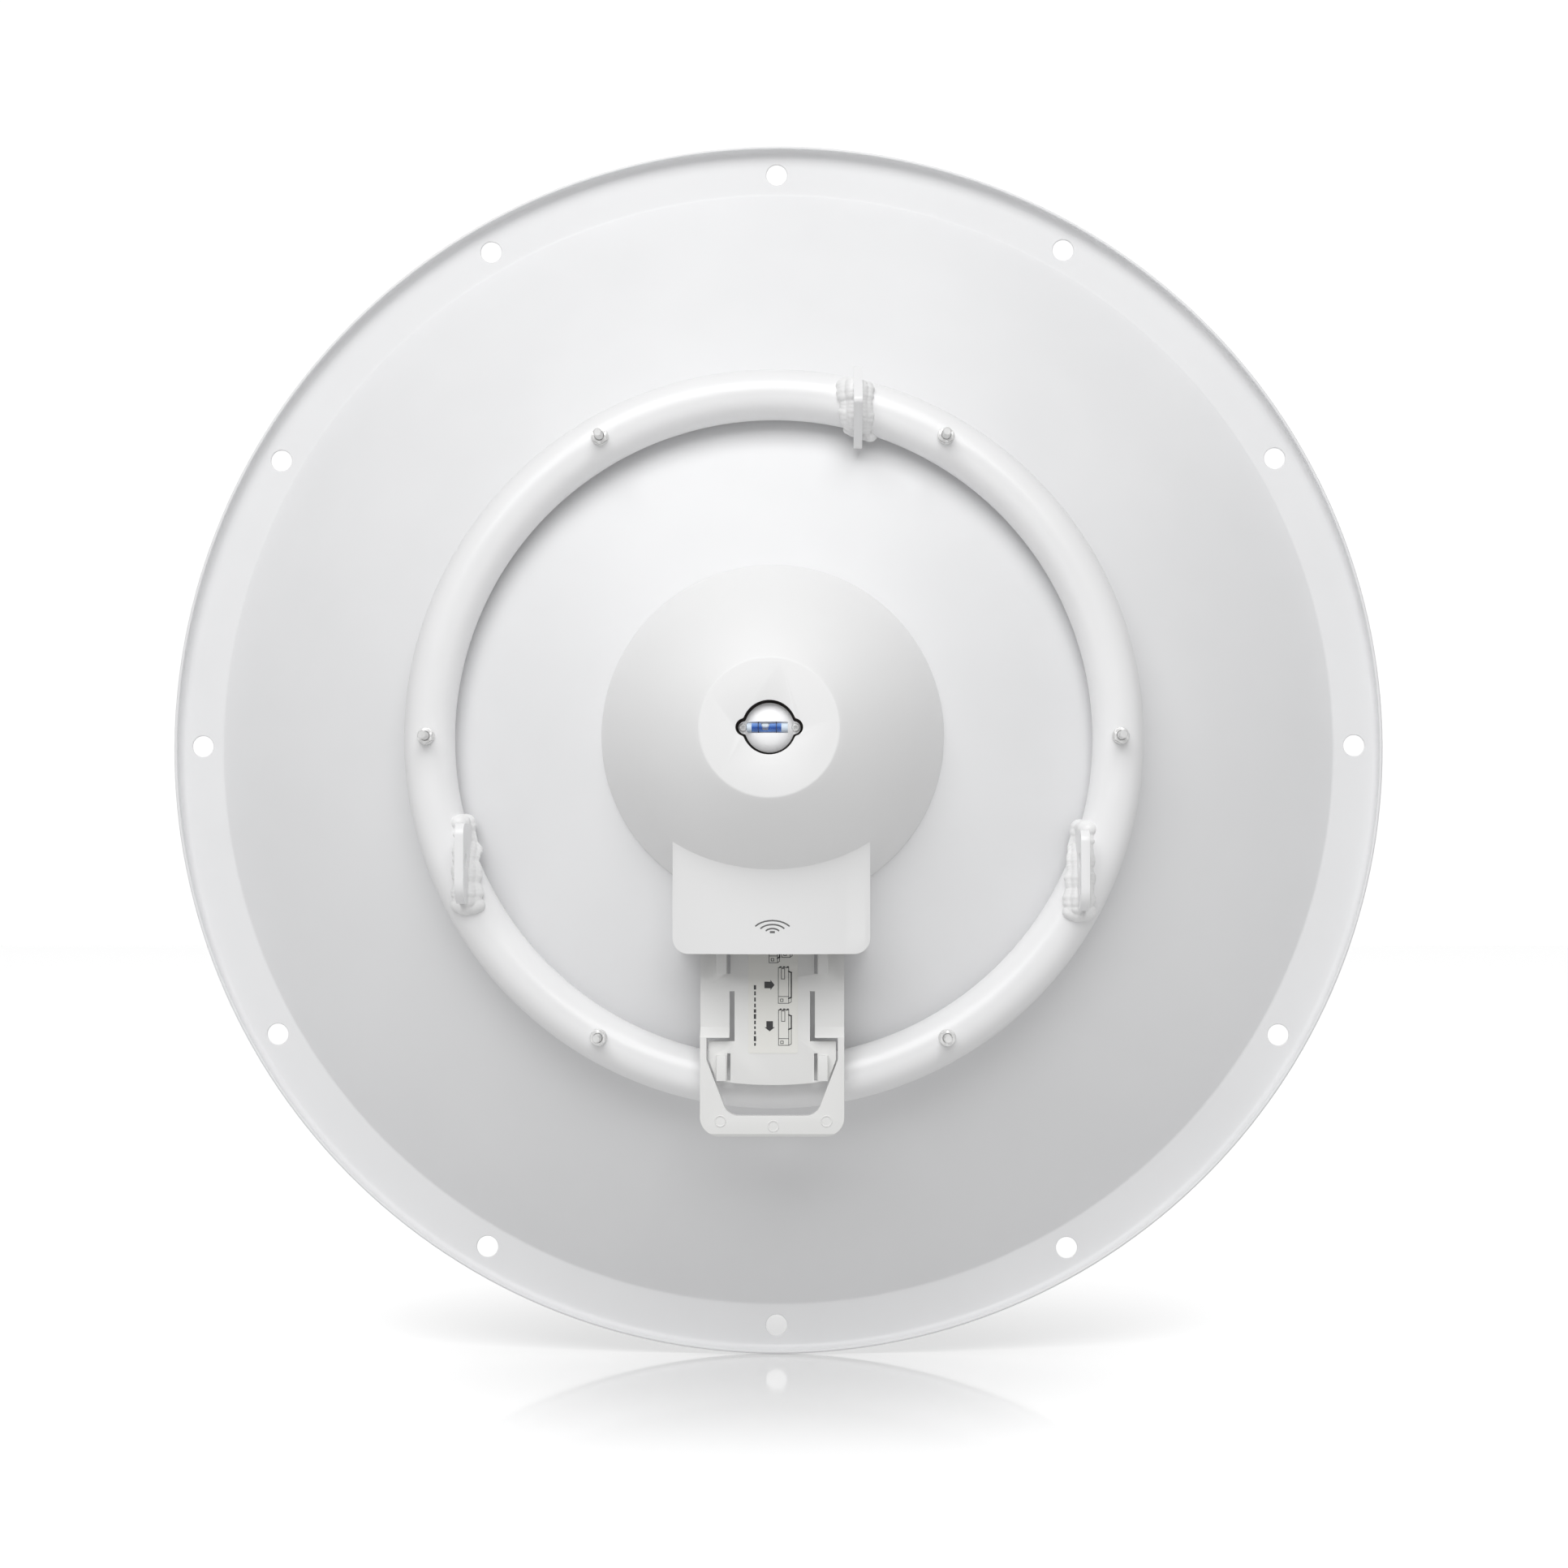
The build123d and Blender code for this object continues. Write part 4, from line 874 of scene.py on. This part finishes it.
def device(bm, x, z, width, height, rail_top, rail_foot):
    """A line drawing of a plain slide-on box with its rail at the right."""
    def draw(points, line=DRAWN_LINE):
        stroke(bm, points, line, label_face)

    body, side = x + width * BODY_SHARE, x + width
    draw(box_outline(x, z, body, z - height))
    draw(box_outline(x + WINDOW_INSET, z - WINDOW_DROP, x + WINDOW_RIGHT, z - WINDOW_FOOT))
    draw([(x, z - height * SEAM_SHARE), (body, z - height * SEAM_SHARE)])
    draw(box_outline(x + PORT_LEFT, z - height * PORT_TOP_SHARE,
                     x + PORT_RIGHT, z - height * PORT_FOOT_SHARE))
    draw([(body, z - rail_top), (side, z - rail_top - RAIL_SLANT),
          (side, z - rail_foot), (body, z - rail_foot - RAIL_SLANT)], RAIL_LINE)
    draw([(body, z - height), (side, z - height + FOOT_SLANT), (side, z - rail_foot)])
    for share in CLIP_SHARES:
        clip = x + width * BODY_SHARE * share
        draw([(clip, z), (clip + CLIP_RUN, z + CLIP_RISE), (clip + CLIP_REACH, z + CLIP_RISE)], CLIP_LINE)


def block_arrow(bm, x, z, turn):
    """A solid arrow that points right, turned by some degrees."""
    upper = [(-ARROW_REACH, ARROW_STEM), (ARROW_NECK, ARROW_STEM), (ARROW_NECK, ARROW_REACH)]
    lower = [(px, -pz) for px, pz in upper]
    outline = lower + [(ARROW_REACH, 0.0)] + upper[::-1]
    c, s = math.cos(math.radians(turn)), math.sin(math.radians(turn))
    turned = [(x + px * c - pz * s, z + px * s + pz * c) for px, pz in outline]
    prism(bm, turned, LABEL_BACK - ARROW_SINK, LABEL_BACK + PRINT_RISE)


def label():
    """The film on the plate with its printed drawings, arrows and a column of plain bars."""
    film = refined("label_film_sheet", "cradle_label", LABEL_FILM, FILM_EDGE, 1)
    mount(film, "antenna", "label_film", "cradle_label")
    drawn = bmesh.new()
    for drawing in DRAWINGS:
        device(drawn, *drawing)
    for arrow in ARROWS:
        block_arrow(drawn, *arrow)
    mount(make_object("label_print", drawn, PRINT_INK), "antenna", "label_film")
    rng = random.Random(5)
    bars = bmesh.new()
    z = BARS_TOP
    while z > BARS_FOOT:
        run = rng.uniform(*BAR_LENGTHS)
        stroke(bars, [(BARS_X, z), (BARS_X, z - run)], rng.choice(BAR_WIDTHS), label_face)
        z -= run + BAR_GAP
    mount(make_object("label_bars", bars, PRINT_INK), "antenna", "label_film")


# ---- Cradle ----
HINGE_Z = latch_high.z
# Edges this near the hinge line stay sharp, and the loop's arms reach this far into the plate.
HINGE_ZONE = 0.0008
HINGE_OVERLAP = 0.0003
ON_HINGE = 1e-5
PLATE_EDGE = 0.0004
LOOP_EDGE = 0.0010
# The rings that the mould's ejector pins left on the loop: their places as (x, z), and their sizes.
EJECTOR_PLACES = ((-0.0296, -0.2208), (0.0007, -0.2236), (0.0310, -0.2208))
EJECTOR_RADIUS, EJECTOR_LINE, EJECTOR_RISE = 0.003, 0.00042, 0.00005
EJECTOR_STEPS = 32


def cradle():
    """The cradle's plate and the sprung loop, whose arms reach a little into the plate at the hinge line,
    with the loop's ejector rings.
    """
    def at_hinge(point):
        return abs(point.z - HINGE_Z) < HINGE_ZONE

    plate = refined("cradle_plate", "radio_cradle", CRADLE_PLASTIC, PLATE_EDGE, keep=at_hinge)
    mount(plate, "antenna", "cradle_plastic", "radio_cradle")
    loop = refined("cradle_loop", "cradle_latch", CRADLE_PLASTIC, LOOP_EDGE, 3, keep=at_hinge)
    for vertex in loop.data.vertices:
        if abs(vertex.co.z - HINGE_Z) < ON_HINGE:
            vertex.co.z += HINGE_OVERLAP
    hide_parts("cradle_latch")
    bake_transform(loop)
    rings = bmesh.new()
    loop_back = back_of(latch_low.y)
    section = circle(EJECTOR_RADIUS, EJECTOR_RISE, EJECTOR_LINE, 8)
    for x, z in EJECTOR_PLACES:
        lathe(rings, (x, loop_back, z), section, EJECTOR_STEPS)
    mount(make_object("ejector_rings", rings, CRADLE_PLASTIC), "latch", "cradle_plastic")


# ---- Level ----
VIAL_BACK = back_of((vial_low.y + vial_high.y) / 2)
VIAL_RADIUS = (vial_high.z - vial_low.z) / 2
VIAL_BORE = 0.0024
VIAL_Z = (vial_low.z + vial_high.z) / 2 - AXIS.z
VIAL_X = (vial_low.x + vial_high.x) / 2 - AXIS.x
VIAL_EDGE = 0.0003
VIAL_STEPS = 64
LEVEL_SHARP = 40.0
DOME_EDGE = 0.0003
MARK_SPREAD = 0.00495
MARK_HALF = 0.0002
MARK_SINK, MARK_RISE = 0.0001, 0.00004
# What keeps the liquid off the glass, and the film below the bubble off the glass and the plugs.
LIQUID_GAP = 0.00006
FILM_GAP, FILM_END_GAP = 0.00002, 0.0001
# How far the liquid's ends lap over the bubble's, and how far they lean at the top of the bore.
BUBBLE_OVERLAP = 0.0004
BUBBLE_LEAN = 0.0007
LIQUID_STEPS = 10
FILM_FROM, FILM_TO = 220, 320
# The liquid's hollowed end toward the bubble: shares of its radius, and of its length drawn in.
HOLLOW_END = ((0.66, 0.05), (0.33, 0.08), (0, 0.09))


def turned(bm, profile, steps, shape=None):
    """Turn a closed profile of (radius, x) about the vial's centreline."""
    rings = []
    for turn in turns(steps):
        ring = []
        for r, x in profile:
            px = shape(r, x, turn) if shape else x
            ring.append(bm.verts.new(at(px, VIAL_BACK + r * math.cos(turn), VIAL_Z + r * math.sin(turn))))
        rings.append(ring)
    join_round(bm, rings)


def slug(name, fixed, free, lean):
    """Liquid from a plug's face to the bubble; its free end leans open toward the top."""
    radius = VIAL_BORE - LIQUID_GAP

    def sloped(r, x, turn):
        share = (x - fixed) / (free - fixed)
        return x + lean * share ** 3 * (math.sin(turn) * r / radius)

    bm = bmesh.new()
    profile = [(0, fixed)] + [(radius, x) for x in spaced(fixed, free, LIQUID_STEPS)]
    profile += [(radius * share, free - (free - fixed) * drawn) for share, drawn in HOLLOW_END]
    turned(bm, profile, 40, sloped)
    obj = make_object(name, bm, LEVEL_FLUID, 50.0)
    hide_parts("level_liquid")
    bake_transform(obj)


def liquid_film(left, right):
    """The liquid left under the bubble, along the foot of the vial's bore."""
    bm = bmesh.new()
    bore = VIAL_BORE - FILM_GAP
    lens = list(arc(0, 0, bore, FILM_FROM, FILM_TO, 10))
    ends = [[bm.verts.new(at(x, VIAL_BACK + b, VIAL_Z + z)) for b, z in lens] for x in (left, right)]
    close_between(bm, *ends)
    film = make_object("liquid_film", bm, LEVEL_FLUID, LEVEL_SHARP)
    mount(film, "antenna", "level_fluid", "level_liquid")


def level():
    """Bubble level: domed holder, clear vial with two ring marks, and blue liquid round a bubble."""
    holder = refined("level_dome", "level_holder", GLOWING_LEVEL_PLASTIC, DOME_EDGE, 3)
    mount(holder, "antenna", "level_plastic", "level_holder")
    left, right = span_x(vial_low, vial_high)
    tube = bmesh.new()
    turned(tube, [(VIAL_BORE, left), (VIAL_RADIUS - VIAL_EDGE, left), (VIAL_RADIUS, left + VIAL_EDGE),
                  (VIAL_RADIUS, right - VIAL_EDGE), (VIAL_RADIUS - VIAL_EDGE, right),
                  (VIAL_BORE, right)], VIAL_STEPS)
    mount(make_object("level_tube", tube, VIAL_CLEAR, LEVEL_SHARP), "antenna", "vial_clear", "level_vial")
    marks = bmesh.new()
    inner, outer = VIAL_RADIUS - MARK_SINK, VIAL_RADIUS + MARK_RISE
    for x in (VIAL_X - MARK_SPREAD, VIAL_X + MARK_SPREAD):
        start, end = x - MARK_HALF, x + MARK_HALF
        turned(marks, [(inner, start), (outer, start), (outer, end), (inner, end)], VIAL_STEPS)
    mount(make_object("level_marks", marks, MARK_INK, LEVEL_SHARP), "antenna", "vial_clear")
    wet_left, wet_right = span_x(liquid_low, liquid_high)
    gap_left, gap_right = span_x(bubble_low, bubble_high)
    slug("liquid_left", wet_left, gap_left + BUBBLE_OVERLAP, -BUBBLE_LEAN)
    slug("liquid_right", wet_right, gap_right - BUBBLE_OVERLAP, BUBBLE_LEAN)
    liquid_film(wet_left + FILM_END_GAP, wet_right - FILM_END_GAP)


reflector()
ring()
tabs_and_welds()
ring_fasteners()
shroud()
cradle()
label()
level()


# ---- Floor, light and camera ----
FLOOR_Z = rim_low.z
FLOOR_LEFT, FLOOR_RIGHT, FLOOR_NEAR, FLOOR_FAR = -9, 9, -3, 12
FLOOR_COLOUR = (0.87, 0.87, 0.87)
MIRROR_COLOUR = (0.97, 0.97, 0.97)
# The floor's gloss fades out over this distance toward the camera.
GLOSS_FADE = 1.20
MOST_GLOSS = 0.36
# The floor's own light grows between these distances from where the rim stands on it.
LIFT_REACH = (0.03, 0.45)
MOST_LIFT = 0.52
# The background turns white between these values of a direction's share along the beam.
AHEAD_RANGE = (0.30, 0.85)
AHEAD_WHITE = (1.05, 1.05, 1.05)
# The room's greys from straight down to straight up.
ROOM_GREYS = ((0.0, 0.78), (0.32, 0.46), (0.55, 0.37), (1.0, 0.48))
# The key light is turned to the left of straight behind the dish, and raised.
KEY_TURN, KEY_RISE = math.radians(-6), math.radians(38)
KEY_DISTANCE = 3.2
KEY_WIDTH, KEY_HEIGHT = 2.8, 2.2
KEY_WATTS = 74.0
SENSOR_MM = 36.0
LENS_MM = 65.21739
# The camera's place and the point it looks at, as x, back and z from the dish axis.
EYE = (0.0335, 1.7597, -0.0863)
TARGET = (0.0046, 0.0, -0.0236)


def floor():
    """A white floor, less glossy toward the camera, and lit of its own away from the rim's foot."""
    bm = bmesh.new()
    places = ((FLOOR_LEFT, FLOOR_NEAR), (FLOOR_RIGHT, FLOOR_NEAR),
              (FLOOR_RIGHT, FLOOR_FAR), (FLOOR_LEFT, FLOOR_FAR))
    bm.faces.new([bm.verts.new((x, y, FLOOR_Z)) for x, y in places])
    mat = bpy.data.materials.new("studio_floor")
    mat.use_nodes = True
    tree = mat.node_tree
    nodes, links = tree.nodes, tree.links
    shader = nodes["Principled BSDF"]
    shader.inputs["Base Color"].default_value = (*FLOOR_COLOUR, 1)
    shader.inputs["Roughness"].default_value = 0.9
    shader.inputs["Specular IOR Level"].default_value = 0.0
    shader.inputs["Emission Color"].default_value = (1, 1, 1, 1)
    mirror = nodes.new("ShaderNodeBsdfGlossy")
    mirror.inputs["Color"].default_value = (*MIRROR_COLOUR, 1)
    mirror.inputs["Roughness"].default_value = 0.08
    place, split = coordinates(tree, "Object")
    gloss = map_range(tree, split["Y"], (AXIS.y - GLOSS_FADE, AXIS.y), (0.0, MOST_GLOSS))
    reach = nodes.new("ShaderNodeVectorMath")
    reach.operation = "DISTANCE"
    links.new(place, reach.inputs[0])
    reach.inputs[1].default_value = (AXIS.x, AXIS.y, FLOOR_Z)
    lift = map_range(tree, reach.outputs["Value"], LIFT_REACH, (0.0, MOST_LIFT), smooth=True)
    links.new(lift, shader.inputs["Emission Strength"])
    mix = nodes.new("ShaderNodeMixShader")
    links.new(gloss, mix.inputs["Fac"])
    links.new(shader.outputs["BSDF"], mix.inputs[1])
    links.new(mirror.outputs["BSDF"], mix.inputs[2])
    links.new(mix.outputs["Shader"], nodes["Material Output"].inputs["Surface"])
    obj = make_object("studio_floor", bm, mat)
    obj.visible_diffuse = False


def aim(obj, place, target):
    """Put a lamp or camera at a place, facing a target."""
    obj.location = place
    obj.rotation_euler = (target - obj.location).to_track_quat("-Z", "Y").to_euler()
    bpy.context.scene.collection.objects.link(obj)


def key_light():
    """The one soft box, high behind the dish and facing it."""
    lamp = bpy.data.lights.new("key", "AREA")
    lamp.shape = "RECTANGLE"
    lamp.size = KEY_WIDTH
    lamp.size_y = KEY_HEIGHT
    lamp.energy = KEY_WATTS
    level_reach = KEY_DISTANCE * math.cos(KEY_RISE)
    place = at(level_reach * math.sin(KEY_TURN), level_reach * math.cos(KEY_TURN),
               KEY_DISTANCE * math.sin(KEY_RISE))
    aim(bpy.data.objects.new("key", lamp), place, at(0, 0, 0))


def world():
    """White ahead of the camera, and a soft grey room behind it, brightest toward its floor."""
    made = bpy.data.worlds.new("studio")
    made.use_nodes = True
    tree = made.node_tree
    _, split = coordinates(tree, "Generated")
    ahead = map_range(tree, split["Y"], AHEAD_RANGE, smooth=True)
    height = map_range(tree, split["Z"], (-1.0, 1.0))
    room = ramp(tree, height, [(position, (grey, grey, grey)) for position, grey in ROOM_GREYS])
    tree.links.new(mix_colours(tree, ahead, room, AHEAD_WHITE), tree.nodes["Background"].inputs["Color"])
    bpy.context.scene.world = made


def camera():
    """Behind the dish, a little right of its axis and below it, looking slightly up."""
    eye = bpy.data.cameras.new("camera")
    eye.sensor_width = SENSOR_MM
    eye.lens = LENS_MM
    eye.clip_start = 0.05
    eye.clip_end = 60.0
    obj = bpy.data.objects.new("camera", eye)
    aim(obj, at(*EYE), at(*TARGET))
    bpy.context.scene.camera = obj


floor()
key_light()
world()
camera()
bpy.context.scene.view_settings.view_transform = "Standard"
